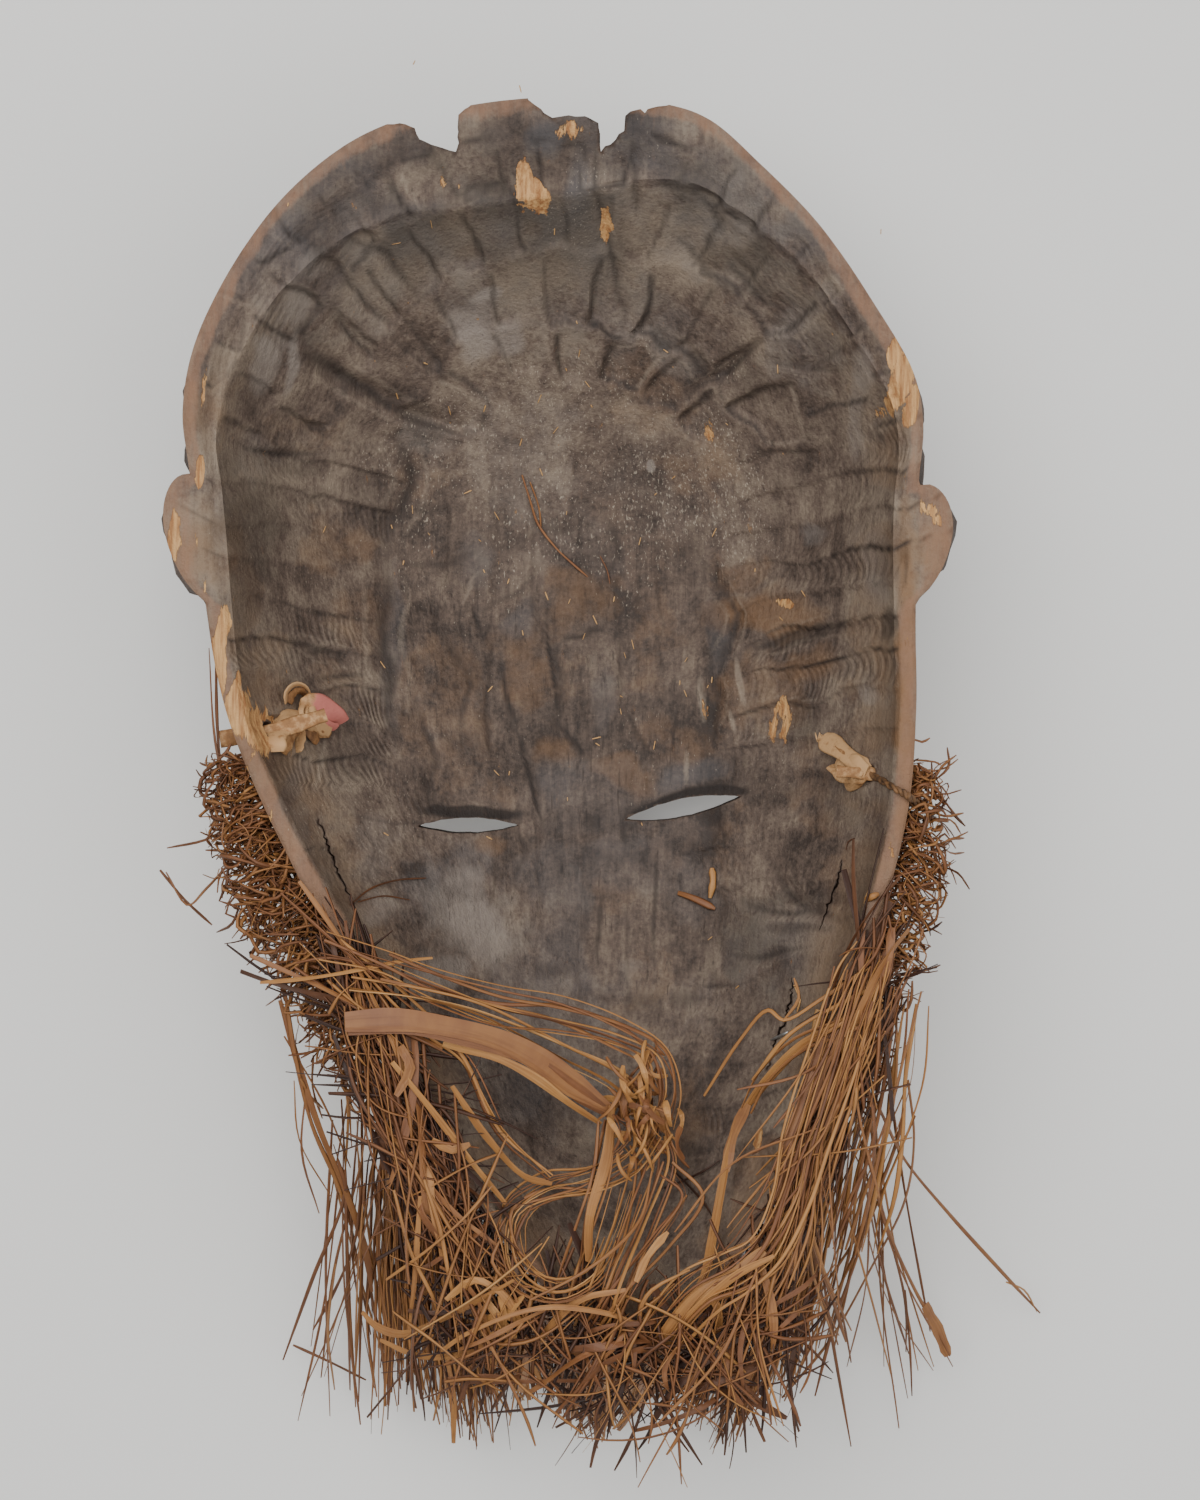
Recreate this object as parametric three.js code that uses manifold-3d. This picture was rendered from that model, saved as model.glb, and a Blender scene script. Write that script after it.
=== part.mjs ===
// A carved wooden face mask with a raffia beard, lying on its face with the hollow side up.
// Millimetres. X runs to the right as one looks into the hollow, Y to the crown, Z up out of the hollow.
// The rim's plane is Z = 0 while the pieces are made, and the last lines set the whole on its origin.
import * as THREE from "three";
import { mergeVertices } from "three/addons/utils/BufferGeometryUtils.js";
import Module from "manifold-3d";

const wasm = await Module();
wasm.setup();

// Driving dimensions of the carved shell
const rimOutline = [
  // x and y of the rim's outer edge, anticlockwise from the chin; carved by hand, so its sides differ
  [20.7, -180], [34.7, -172], [45.9, -156.8], [71, -112], [78.4, -81], [87.9, -53], [93.5, -28],
  [95.4, -2], [95.2, 22], [96, 60], [97.4, 77], [94.9, 91], [83, 112], [68.4, 133], [52, 150],
  [37, 163], [24, 167.3], [3, 169], [-17, 168.4], [-40, 164.8], [-54, 161], [-67, 154], [-83, 140],
  [-98, 119], [-107.5, 98], [-110.3, 80], [-108.5, 65], [-104, 28], [-100.6, 7], [-95.5, -11],
  [-77.3, -50.5], [-63.3, -73], [-53.5, -95], [-39.5, -123], [-18.5, -154], [2.5, -175],
];
const centre = { x: 2, y: -5 }; // the rim outline is measured round this point
const restDepth = 88; // from the rim's plane down to the table
const foreheadDepth = 81; // depth of the hollow behind the forehead
const eyeDepth = 64; // depth of the hollow behind the eyes
const jawDepth = 57; // depth of the hollow behind the chin
const wallThickness = 10; // at the bottom of the hollow
const rimEdge = 3; // height of the rim's outer edge
const rimLand = 6.5; // width of the flat land round the rim, at its narrowest
const crownLand = 20; // how much wider the land is under the crown
const ears = {
  left: { projection: 10.5, low: 28, high: 63 },
  right: { projection: 11.5, low: 28, high: 60 },
  thickness: 22,
};
const crownTop = 180; // y clear above the crown
const notches = [
  // outlines in plan of what is cut out of the crown between its three lobes
  [[-46.5, crownTop], [-45.5, 163], [-43.7, 157], [-34, 154], [-32.9, 156], [-32.4, crownTop]],
  // the middle lobe's right part is broken lower
  [[-14, crownTop], [-10.3, 166], [-8.7, 164.6], [-6.7, 163.2], [4.5, 163.3], [6.7, 160.5],
    [7, 154.3], [10, 156.4], [13.4, 159.6], [14, 163.5], [14.6, crownTop]],
];
const slits = [
  { x: -32, y: -36.2, width: 29.4, height: 4.6, tilt: 0 },
  { x: 31.2, y: -31.1, width: 34.4, height: 5.4, tilt: 11.5 },
];

// Driving dimensions of the beard
const band = { depth: 34, width: 17, thickness: 2, gap: 2.4, start: [-93, -17], end: [94.3, -19] };
const cowrie = { length: 19, width: 13, height: 8, count: 23 };
const beardEnd = -214; // y where the beard's hanks end
const hankCount = 9;
// The hanks start between these shares of the jaw, this far below the rim, and end between these x
const hankSpan = { first: 0.33, last: 0.7, leftEnd: -58, rightEnd: 74, below: 5 };
const clearance = 0.5; // between pieces that touch
const matLift = 0.6; // of loose fibre over the rim that it lies on

// Holes through the wall at the temples, for the thongs that tie the beard on: from inside to outside
const holes = [
  { path: [[-71, -4, -15], [-84, -8, -14], [-101, -11, -13]], radius: 2.8 },
  { path: [[74, -20, -17], [86, -21, -16], [101, -22, -15]], radius: 2.4 },
];

const woodColour = { color: 0x5d4f43, roughness: 0.8, metalness: 0 };
const raffiaColour = { color: 0xa8743f, roughness: 0.7, metalness: 0 };
const shellColour = { color: 0xe6dac0, roughness: 0.3, metalness: 0 };
const clothColour = { color: 0x5b4230, roughness: 0.9, metalness: 0 };
const hideColour = { color: 0xc89a68, roughness: 0.7, metalness: 0 };

const part = new THREE.Group();

// Small formulas
const smooth = (low, high, v) => THREE.MathUtils.smoothstep(v, low, high);
const bell = (v) => Math.exp(-v * v);
const dome = (v, power = 0.8) => Math.max(0, 1 - v * v) ** power;
const lerp = THREE.MathUtils.lerp;

function addPiece(name, geometry, finish) {
  const mesh = new THREE.Mesh(geometry, new THREE.MeshStandardMaterial(finish));
  mesh.name = name;
  part.add(mesh);
  return mesh;
}

// A closed mesh as a solid for cutting and joining, and a solid back as a mesh
function solidOf(geometry) {
  const bare = geometry.clone();
  bare.deleteAttribute("normal");
  bare.deleteAttribute("uv");
  const merged = mergeVertices(bare, 1e-4);
  return new wasm.Manifold(new wasm.Mesh({
    numProp: 3,
    vertProperties: new Float32Array(merged.attributes.position.array),
    triVerts: new Uint32Array(merged.index.array),
  }));
}

function geometryOf(solid) {
  const made = solid.getMesh();
  const geometry = new THREE.BufferGeometry();
  const positions = new Float32Array(made.numVert * 3);
  for (let i = 0; i < made.numVert; i++) {
    positions.set(made.vertProperties.subarray(i * made.numProp, i * made.numProp + 3), i * 3);
  }
  geometry.setAttribute("position", new THREE.BufferAttribute(positions, 3));
  geometry.setIndex(new THREE.BufferAttribute(new Uint32Array(made.triVerts), 1));
  geometry.computeVertexNormals();
  return geometry;
}

// Grid lines from each stop to the next, spaced by the step that the stop gives
function gridLines(...stops) {
  const lines = [];
  for (let k = 0; k + 1 < stops.length; k++) {
    const [from, step] = stops[k];
    const pieces = Math.max(1, Math.round((stops[k + 1][0] - from) / step));
    for (let i = 0; i < pieces; i++) {
      lines.push(lerp(from, stops[k + 1][0], i / pieces));
    }
  }
  return [...lines, stops.at(-1)[0]];
}

// A closed body between an upper and a lower surface over one grid, walled round its border
function closedSheet(across, along, upper, lower) {
  const columns = across.length;
  const rows = along.length;
  const positions = [];
  for (const surface of [upper, lower]) {
    for (const b of along) {
      for (const a of across) {
        positions.push(...surface(a, b));
      }
    }
  }
  const index = [];
  const top = (i, j) => j * columns + i;
  const under = (i, j) => rows * columns + j * columns + i;
  const quad = (p, q, r, s) => index.push(p, q, r, p, r, s);
  for (let j = 0; j + 1 < rows; j++) {
    for (let i = 0; i + 1 < columns; i++) {
      quad(top(i, j), top(i + 1, j), top(i + 1, j + 1), top(i, j + 1));
      quad(under(i, j), under(i, j + 1), under(i + 1, j + 1), under(i + 1, j));
    }
  }
  for (let i = 0; i + 1 < columns; i++) {
    quad(under(i, 0), under(i + 1, 0), top(i + 1, 0), top(i, 0));
    quad(under(i + 1, rows - 1), under(i, rows - 1), top(i, rows - 1), top(i + 1, rows - 1));
  }
  for (let j = 0; j + 1 < rows; j++) {
    quad(under(0, j + 1), under(0, j), top(0, j), top(0, j + 1));
    quad(under(columns - 1, j), under(columns - 1, j + 1), top(columns - 1, j + 1), top(columns - 1, j));
  }
  const geometry = new THREE.BufferGeometry();
  geometry.setAttribute("position", new THREE.Float32BufferAttribute(positions, 3));
  geometry.setIndex(index);
  geometry.computeVertexNormals();
  return geometry;
}

// A closed body between an upper and a lower surface over rings round a middle point
function closedBowl(shares, turns, upper, lower) {
  const sectors = turns.length;
  const positions = [...upper(0, 0), ...lower(0, 0)];
  for (const surface of [upper, lower]) {
    for (const share of shares) {
      for (const turn of turns) {
        positions.push(...surface(share, turn));
      }
    }
  }
  const index = [];
  const top = (ring, i) => 2 + ring * sectors + (i % sectors);
  const under = (ring, i) => top(ring + shares.length, i);
  for (let i = 0; i < sectors; i++) {
    index.push(0, top(0, i), top(0, i + 1), 1, under(0, i + 1), under(0, i));
    for (let ring = 0; ring + 1 < shares.length; ring++) {
      index.push(top(ring, i), top(ring + 1, i), top(ring + 1, i + 1));
      index.push(top(ring, i), top(ring + 1, i + 1), top(ring, i + 1));
      index.push(under(ring, i), under(ring + 1, i + 1), under(ring + 1, i));
      index.push(under(ring, i), under(ring, i + 1), under(ring + 1, i + 1));
    }
    const rim = shares.length - 1;
    index.push(under(rim, i), under(rim, i + 1), top(rim, i + 1));
    index.push(under(rim, i), top(rim, i + 1), top(rim, i));
  }
  const geometry = new THREE.BufferGeometry();
  geometry.setAttribute("position", new THREE.Float32BufferAttribute(positions, 3));
  geometry.setIndex(index);
  geometry.computeVertexNormals();
  return geometry;
}

// A closed tube of changing half-width and half-height along a curve; its sections stay upright
function taperedTube(path, halfWidth, halfHeight, steps, sides) {
  const curve = new THREE.CatmullRomCurve3(path.map((p) => new THREE.Vector3(...p)), false, "centripetal");
  const positions = [];
  const index = [];
  for (let k = 0; k <= steps; k++) {
    const t = k / steps;
    const middle = curve.getPointAt(t);
    const forward = curve.getTangentAt(t);
    const side = new THREE.Vector3(0, 0, 1).cross(forward).normalize();
    const up = forward.clone().cross(side).normalize();
    for (let i = 0; i < sides; i++) {
      const turn = ((i + 0.5) / sides) * Math.PI * 2;
      const point = middle.clone()
        .addScaledVector(side, Math.cos(turn) * halfWidth(t))
        .addScaledVector(up, Math.sin(turn) * halfHeight(t));
      positions.push(point.x, point.y, point.z);
    }
  }
  for (let k = 0; k < steps; k++) {
    for (let i = 0; i < sides; i++) {
      const next = (i + 1) % sides;
      const [p, q, r, s] = [k * sides + i, k * sides + next, (k + 1) * sides + next, (k + 1) * sides + i];
      index.push(p, q, r, p, r, s);
    }
  }
  const last = steps * sides;
  for (let i = 1; i + 1 < sides; i++) {
    index.push(0, i + 1, i);
    index.push(last, last + i, last + i + 1);
  }
  const geometry = new THREE.BufferGeometry();
  geometry.setAttribute("position", new THREE.Float32BufferAttribute(positions, 3));
  geometry.setIndex(index);
  geometry.computeVertexNormals();
  return geometry;
}

// The rim's outline as a radius round the centre
const outlineSamples = (() => {
  const points = rimOutline.map(([x, y]) => new THREE.Vector3(x - centre.x, y - centre.y, 0));
  const curve = new THREE.CatmullRomCurve3(points, true, "centripetal");
  return curve.getPoints(1440).slice(0, -1)
    .map((p) => ({ turn: Math.atan2(p.y, p.x), radius: Math.hypot(p.x, p.y) }))
    .sort((p, q) => p.turn - q.turn);
})();

function baseRadius(turn) {
  const wrapped = Math.atan2(Math.sin(turn), Math.cos(turn));
  const count = outlineSamples.length;
  const found = outlineSamples.findIndex((s) => s.turn > wrapped);
  const after = outlineSamples[found < 0 ? 0 : found];
  const before = outlineSamples[(found > 0 ? found : count) - 1];
  const span = Math.atan2(Math.sin(after.turn - before.turn), Math.cos(after.turn - before.turn));
  const past = Math.atan2(Math.sin(wrapped - before.turn), Math.cos(wrapped - before.turn));
  return lerp(before.radius, after.radius, span > 0 ? past / span : 0);
}

// How far the two ears stand out of the outline at one place round it
function earRise(turn) {
  const y = centre.y + baseRadius(turn) * Math.sin(turn);
  const { projection, low, high } = Math.cos(turn) < 0 ? ears.left : ears.right;
  const share = (y - low) / (high - low);
  return share > 0 && share < 1 ? projection * Math.sin(Math.PI * share) ** 0.6 : 0;
}

// Width of the flat land between the rim's edge and the hollow: widest under the crown
function landWidth(turn) {
  const lean = 90 - THREE.MathUtils.radToDeg(Math.atan2(Math.sin(turn), Math.cos(turn)));
  const crown = crownLand * bell((lean + 8) / 26);
  const leftShoulder = 5 * bell((lean + 50) / 25);
  const rightShoulder = 3.5 * bell((lean - 42) / 24);
  return rimLand + crown + leftShoulder + rightShoulder;
}

const landShare = 0.94; // rings of the shell's mesh past this share lie on the land

// Depth of the hollow along the mask
const hollowDepth = (y) =>
  lerp(jawDepth, eyeDepth, smooth(-150, -70, y)) + (foreheadDepth - eyeDepth) * bell((y - 62) / 52);

// The mask's middle line leans a little, as the carver left it
const middleX = (y) => centre.x - 0.07 * (y - centre.y);

// Relief of the face, as height over the bare form
function faceRelief(x, y) {
  const q = x - middleX(y);
  const side = Math.abs(q);
  const hairline = 104 - 0.0065 * q * q;
  const hair = smooth(hairline - 3, hairline + 3, y);
  const ray = Math.atan2(q, y - 20);
  let height = 3.2 * bell(q / 5) * smooth(-24, -8, y) * (1 - smooth(86, 100, y)); // forehead's ridge
  const brow = y + 11 + ((side - 30) / 34) ** 2 * 9;
  height += 4 * bell(brow / 6.5) * smooth(6, 16, side) * (1 - smooth(56, 72, side));
  height -= 2.5 * bell((side - 32) / 24) * bell((y + 32) / 16); // eye sockets
  height += 8 * dome(Math.min(1, Math.hypot((side - 32) / 22, (y + 34) / 12)), 0.8); // lids
  const along = (-14 - y) / 62; // down the nose, 0 at the bridge and 1 at the tip
  if (along > 0) {
    const nose = lerp(5, 19.5, Math.min(1, along)) * (1 - smooth(1, 1.18, along));
    height += nose * dome(Math.min(1, side / lerp(7, 17, Math.min(1, along) ** 1.6)), 0.75);
  }
  height += 4 * bell(q / 30) * bell((y + 113) / 18);
  height += 7 * bell((y + 106) / 4.5) * dome(Math.min(1, side / 28), 0.6); // upper lip
  height += 7 * bell((y + 119) / 5) * dome(Math.min(1, side / 25), 0.6); // lower lip
  height += 4 * bell(q / 22) * bell((y + 150) / 14); // chin
  height += hair * (4 + 5 * (1 - smooth(15, 21, side)) + 1.2 * Math.cos(ray * 44)); // dressed hair
  return height;
}

// The bare form outside, before the relief: the ears die away with depth
function bareOutside(share, turn) {
  const base = baseRadius(turn);
  const y = centre.y + share * base * Math.sin(turn);
  const deepest = hollowDepth(y) + wallThickness - rimEdge;
  const drop = deepest * Math.max(0, 1 - share ** 2.6) ** 0.62;
  const nearRim = 1 - smooth(ears.thickness - 8, ears.thickness + 8, drop);
  const radius = share * base + earRise(turn) * nearRim * smooth(0.8, 0.92, share);
  return new THREE.Vector3(
    centre.x + radius * Math.cos(turn), centre.y + radius * Math.sin(turn), -rimEdge - drop);
}

function outsidePoint(share, turn, proud = 0) {
  const step = 0.004;
  const inner = Math.min(share, 1 - step);
  const here = bareOutside(share, turn);
  const out = bareOutside(inner + step, turn).sub(bareOutside(Math.max(0, inner - step), turn));
  const round = bareOutside(inner, turn + step).sub(bareOutside(inner, turn - step));
  const normal = share < 0.02 ? new THREE.Vector3(0, 0, -1) : round.cross(out).normalize();
  const relief = faceRelief(here.x, here.y) * smooth(2, 16, -here.z - rimEdge);
  return here.addScaledVector(normal, relief + proud);
}

function insidePoint(share, turn) {
  const base = baseRadius(turn);
  const land = base - landWidth(turn);
  if (share > landShare) {
    const radius = lerp(land, base + earRise(turn), (share - landShare) / (1 - landShare));
    return new THREE.Vector3(
      centre.x + radius * Math.cos(turn), centre.y + radius * Math.sin(turn), 0);
  }
  const s = share / landShare;
  const y = centre.y + s * land * Math.sin(turn);
  const z = -hollowDepth(y) * Math.max(0, 1 - s ** 2.6) ** 0.75;
  return new THREE.Vector3(centre.x + s * land * Math.cos(turn), y, z);
}

function eyeSlit({ x, y, width, height, tilt }) {
  const lens = new THREE.Shape();
  lens.moveTo(-width / 2, 0);
  lens.quadraticCurveTo(0, -height, width / 2, 0);
  lens.quadraticCurveTo(0, height, -width / 2, 0);
  const through = { depth: restDepth, bevelEnabled: false, curveSegments: 6 };
  const cutter = new THREE.ExtrudeGeometry(lens, through);
  cutter.rotateZ(THREE.MathUtils.degToRad(tilt));
  cutter.translate(x, y, -restDepth - 8); // from under the face up to a little below the rim
  return solidOf(cutter);
}

function notchCutter(outline) {
  const plan = new THREE.Shape(outline.map(([x, y]) => new THREE.Vector2(x, y)));
  const cutter = new THREE.ExtrudeGeometry(plan, { depth: restDepth, bevelEnabled: false });
  return solidOf(cutter.translate(0, 0, 1 - restDepth));
}

function maskShell() {
  // rings are close together across the mouth, and sectors are narrow below the nose
  const shares = gridLines([0.06, 0.1], [0.35, 0.0315], [0.665, 0.09], [landShare, 0.06], [1]);
  const turns = gridLines([-120, 3.2], [-62, 6.6], [240]).slice(0, -1).map(THREE.MathUtils.degToRad);
  const onRings = (surface) => (share, turn) => surface(share, turn).toArray();
  let shell = solidOf(closedBowl(shares, turns, onRings(insidePoint), onRings(outsidePoint)));
  for (const slit of slits) {
    shell = shell.subtract(eyeSlit(slit));
  }
  for (const notch of notches) {
    shell = shell.subtract(notchCutter(notch));
  }
  for (const { path, radius } of holes) {
    shell = shell.subtract(solidOf(taperedTube(path, () => radius, () => radius, 3, 8)));
  }
  // small flats on the forehead and the nose, where it rests
  const under = 60;
  const table = new THREE.BoxGeometry(600, 600, under).translate(0, 0, -restDepth - under / 2);
  return shell.subtract(solidOf(table));
}

// A place on the outside of the jaw at a given depth: the turn runs from the left temple round the chin
function shareAtDepth(turn, depth) {
  let low = 0.3;
  let high = 1;
  for (let i = 0; i < 30; i++) {
    const mid = (low + high) / 2;
    if (-bareOutside(mid, turn).z > depth) {
      low = mid;
    } else {
      high = mid;
    }
  }
  return low;
}

const turnOf = ([x, y]) => Math.atan2(y - centre.y, x - centre.x);
const bandStart = turnOf(band.start) + Math.PI * 2; // just below the left temple
const bandEnd = turnOf(band.end) + Math.PI * 2; // just below the right temple, past the chin

function jawPoint(along, depth, proud) {
  const turn = lerp(bandStart, bandEnd, along);
  return outsidePoint(shareAtDepth(turn, depth), turn, proud);
}

// Shares along the band that are evenly spaced in real length
const bandShares = (count) => {
  const steps = 240;
  const samples = [];
  let total = 0;
  let last = jawPoint(0, band.depth, 0);
  for (let i = 0; i <= steps; i++) {
    const here = jawPoint(i / steps, band.depth, 0);
    total += here.distanceTo(last);
    samples.push({ share: i / steps, length: total });
    last = here;
  }
  return Array.from({ length: count }, (_, k) =>
    samples.find((s) => s.length >= (total * k) / (count - 1) - 1e-6).share);
};

function beardBand() {
  const depthAt = (b) => band.depth + (b * band.width) / 2;
  const outer = (a, b) => jawPoint(a, depthAt(b), band.gap + band.thickness).toArray();
  const inner = (a, b) => jawPoint(a, depthAt(b), band.gap).toArray();
  return closedSheet(bandShares(38), [-1, 0, 1], inner, outer);
}

// One shell, slit side up: long axis Y, a groove down the middle, flat where it is sewn on
function cowrieGeometry() {
  const shell = new THREE.SphereGeometry(0.5, 6, 5);
  shell.rotateY(Math.PI / 2);
  const place = shell.attributes.position;
  for (let i = 0; i < place.count; i++) {
    const x = place.getX(i) * cowrie.width * (1 - 0.25 * place.getY(i));
    const groove = Math.abs(place.getX(i)) < 0.01 && place.getZ(i) > 0 ? 1.4 : 0;
    const z = Math.max(-0.22, place.getZ(i)) * cowrie.height * 1.35 - groove;
    place.setXYZ(i, x, place.getY(i) * cowrie.length, z);
  }
  shell.computeBoundingBox();
  shell.translate(0, 0, -shell.boundingBox.min.z);
  return shell;
}

function addCowries() {
  const stitchHeight = 1.6; // a shell's flat back stands this far off the curved band
  const shares = bandShares(cowrie.count + 2).slice(1, -1);
  const between = (from, to) => to.sub(from).normalize();
  shares.forEach((share, k) => {
    const foot = jawPoint(share, band.depth, band.gap + band.thickness + stitchHeight);
    const along = between(jawPoint(share - 0.004, band.depth, 0), jawPoint(share + 0.004, band.depth, 0));
    const across = between(jawPoint(share, band.depth - 3, 0), jawPoint(share, band.depth + 3, 0));
    const out = along.clone().cross(across).negate().normalize();
    const upright = out.clone().cross(along).normalize();
    const shell = addPiece("cowrie_" + String(k + 1).padStart(2, "0"), cowrieGeometry(), shellColour);
    shell.matrixAutoUpdate = false;
    shell.matrix.makeBasis(along, upright, out).setPosition(foot);
  });
}

// The bound top of the beard, a thick roll of looped fibre that lies against the jaw outside
function raffiaRoll(name, from, to, thin, thick) {
  const spans = 8;
  const beside = 1.2; // clear of the rim's outer edge
  const size = (t) => lerp(thin, thick, Math.sin((Math.PI / 2) * Math.min(1, (t * spans + 0.4) / 4)));
  const path = [];
  for (let k = 0; k <= spans; k++) {
    const radius = size(k / spans);
    const turn = lerp(bandStart, bandEnd, lerp(from, to, k / spans));
    const reach = baseRadius(turn) + radius + beside;
    path.push([centre.x + reach * Math.cos(turn), centre.y + reach * Math.sin(turn), -6 - radius * 0.8]);
  }
  const ends = (t) => 1 - 0.45 * smooth(0.9, 1, t) - 0.45 * (1 - smooth(0, 0.08, t));
  const halfWidth = (t) => size(t) * (ends(t) - 0.1 + 0.1 * Math.sin(t * Math.PI * 14));
  addPiece(name, taperedTube(path, halfWidth, halfWidth, 14, 6), raffiaColour);
}

// The beard's hanging hanks: side by side from the lower jaw, drooping to the table below the chin
function addHanks() {
  const edge = (k, t) => {
    const share = k / hankCount;
    const turn = lerp(bandStart, bandEnd, lerp(hankSpan.first, hankSpan.last, share));
    const reach = baseRadius(turn) + 2;
    const start = new THREE.Vector2(centre.x + reach * Math.cos(turn), centre.y + reach * Math.sin(turn));
    const outward = new THREE.Vector2(Math.cos(turn), Math.sin(turn) * 0.6).multiplyScalar(17);
    const shoulder = start.clone().add(outward);
    const tip = beardEnd + 7 * Math.sin(k * 2.3);
    const end = new THREE.Vector2(lerp(hankSpan.leftEnd, hankSpan.rightEnd, share), tip);
    return new THREE.QuadraticBezierCurve(start, shoulder, end).getPoint(t);
  };
  const acrossHank = gridLines([0, 0.25], [1]).reverse();
  const alongHank = gridLines([0, 0.15], [0.3, 0.22], [0.74, 0.26], [1]);
  for (let k = 0; k < hankCount; k++) {
    const place = (a, t) => {
      const left = edge(k, t);
      const right = edge(k + 1, t);
      const parting = 0.2 * smooth(0.55, 1, t); // the hanks part towards their tips
      const inset = clearance / 2 / Math.max(left.distanceTo(right), 1) + parting;
      return left.lerp(right, lerp(inset, 1 - inset, a));
    };
    const droop = lerp(0.68, 0.82, (k * 0.37) % 1); // differs from hank to hank
    const fall = (t) => 1 - droop * t ** 1.2; // how much of the height is left
    const crown = (a, t) => 1 - 0.4 * (2 * a - 1) ** 2 * smooth(0, 0.4, t);
    const top = (a, t) => {
      const p = place(a, t);
      return [p.x, p.y, -restDepth + (restDepth - hankSpan.below) * fall(t) * crown(a, t)];
    };
    const bottom = (a, t) => {
      const p = place(a, t);
      return [p.x, p.y, lerp(-22, -restDepth, smooth(0.1, 0.42, t))];
    };
    addPiece("raffia_hank_" + String(k + 1).padStart(2, "0"),
      closedSheet(acrossHank, alongHank, top, bottom), raffiaColour);
  }
}

// A low mat of loose fibre lying on the rim, between two edges given by a few places in plan
function raffiaMat(name, leftEdge, rightEdge, thickness, bow = 0) {
  const curveOf = (plan) =>
    new THREE.CatmullRomCurve3(plan.map(([x, y]) => new THREE.Vector3(x, y, matLift)));
  const left = curveOf(leftEdge);
  const right = curveOf(rightEdge);
  const place = (a, t) => {
    const point = left.getPoint(t).lerp(right.getPoint(t), a);
    point.y -= bow * Math.sin(Math.PI * a);
    return point;
  };
  const swell = (a, t) => {
    const round = Math.sin(Math.PI * a) ** 0.6 * Math.sin(Math.PI * lerp(0.12, 0.88, t));
    return thickness * (0.35 + 0.65 * round);
  };
  const top = (a, t) => place(a, t).add(new THREE.Vector3(0, 0, swell(a, t))).toArray();
  const bottom = (a, t) => place(a, t).toArray();
  const across = gridLines([0, bow > 0 ? 0.125 : 0.25], [1]);
  addPiece(name, closedSheet(across, gridLines([0, 0.2], [1]).reverse(), top, bottom), raffiaColour);
}

// Strands lashed across the hollow, from the left rim to a wound knot, round a loop and to the chin
function raffiaLashings() {
  const strand = (path, width, height, steps = 7) =>
    solidOf(taperedTube(path, () => width, () => height, steps, 5));
  const knot = [22, -118, -9];
  const bundle = strand(
    [[-56, -79, 9], [-38, -80, 7.5], [5, -90, -3], [20, -101, -7], knot], 3, 1.6);
  const leafStrip = strand(
    [[-50, -91, 9], [-32, -91, 6], [-8, -99, -4], [14, -112, -8], knot], 4, 1.1);
  const ring = [[17, -130, -7], [-6, -136, -4], [-12, -147, 2], [-6, -159, 7], [4, -168, 12.5]];
  const loop = strand([knot, ...ring], 3.4, 1.8, 10);
  const fall = strand([knot, [23, -138, -6], [20, -155, 2], [14, -165, 10], [10, -174, 13]], 2.6, 1.6, 8);
  const wound = new THREE.SphereGeometry(1, 8, 6).scale(8, 10.5, 5).translate(...knot);
  return solidOf(wound).add(bundle).add(leafStrip).add(loop).add(fall);
}

// The thong that fills a hole through the wall
function thong({ path, radius }) {
  const halfWidth = () => radius - clearance;
  return taperedTube(path, halfWidth, halfWidth, 3, 6);
}

// A knot of hide at the left temple: a round knot, a curled end and a flap, on its thong
function leftKnot() {
  const ball = (place, size) =>
    solidOf(new THREE.SphereGeometry(1, 7, 5).scale(...size).translate(...place));
  return ball([-70, -4, -15], [6, 4.6, 4.4])
    .add(ball([-71.5, 1, -12.5], [4.6, 4.6, 3.4]))
    .add(ball([-64, -4, -16], [5, 4.2, 3.2]))
    .add(solidOf(thong(holes[0])));
}

// A frayed knot at the right temple, with the thin cord that leads it over the rim
function rightKnot() {
  const blob = new THREE.SphereGeometry(1, 8, 6).scale(6.5, 4.2, 3.4).rotateZ(-0.6);
  blob.translate(73, -19, -17);
  const halfWidth = () => 0.8;
  const overRim = [[74, -20, -15], [80, -22, -4], [87, -25, 2.2], [96, -29, 1.6]];
  const cord = taperedTube(overRim, halfWidth, halfWidth, 9, 6);
  return solidOf(blob).add(solidOf(cord)).add(solidOf(thong(holes[1])));
}

// The carved mask
addPiece("mask_shell", geometryOf(maskShell()), woodColour);

// The band and its shells, which frame the jaw on the face side
addPiece("beard_band", beardBand(), clothColour);
addCowries();

// The raffia
raffiaRoll("raffia_roll_left", 0.0, 0.315, 4.5, 9.5);
raffiaRoll("raffia_roll_right", 1.0, 0.72, 2.6, 7);
addHanks();
raffiaMat("raffia_over_left_rim",
  [[-63, -76], [-53, -101], [-38, -130], [-20, -158]],
  [[-56, -80], [-39, -106], [-23, -134], [-13, -157]], 6);
raffiaMat("raffia_over_chin",
  [[-26, -156], [-33, -170], [-40, -184]],
  [[52, -158], [60, -172], [68, -186]], 9, 14);
raffiaMat("raffia_over_right_rim",
  [[78, -76], [68, -100], [58, -126], [45, -157]],
  [[85, -78], [77, -102], [67, -128], [54, -157]], 5);
addPiece("raffia_lashings", geometryOf(raffiaLashings()), raffiaColour);
const stray = [[80.6, -112.5, -13.6], [90, -123, -28], [103, -139, -46], [118, -156, -65], [133, -171, -84]];
addPiece("raffia_stray_right", taperedTube(stray, () => 0.8, () => 0.8, 9, 5), raffiaColour);

// The knots at the temples
addPiece("knot_left", geometryOf(leftKnot()), hideColour);
addPiece("knot_right", geometryOf(rightKnot()), hideColour);

// The origin is the middle of the whole part's footprint, on the table
const box = new THREE.Box3().setFromObject(part);
part.position.set(-(box.min.x + box.max.x) / 2, -(box.min.y + box.max.y) / 2, -box.min.z);

export default part;
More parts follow.
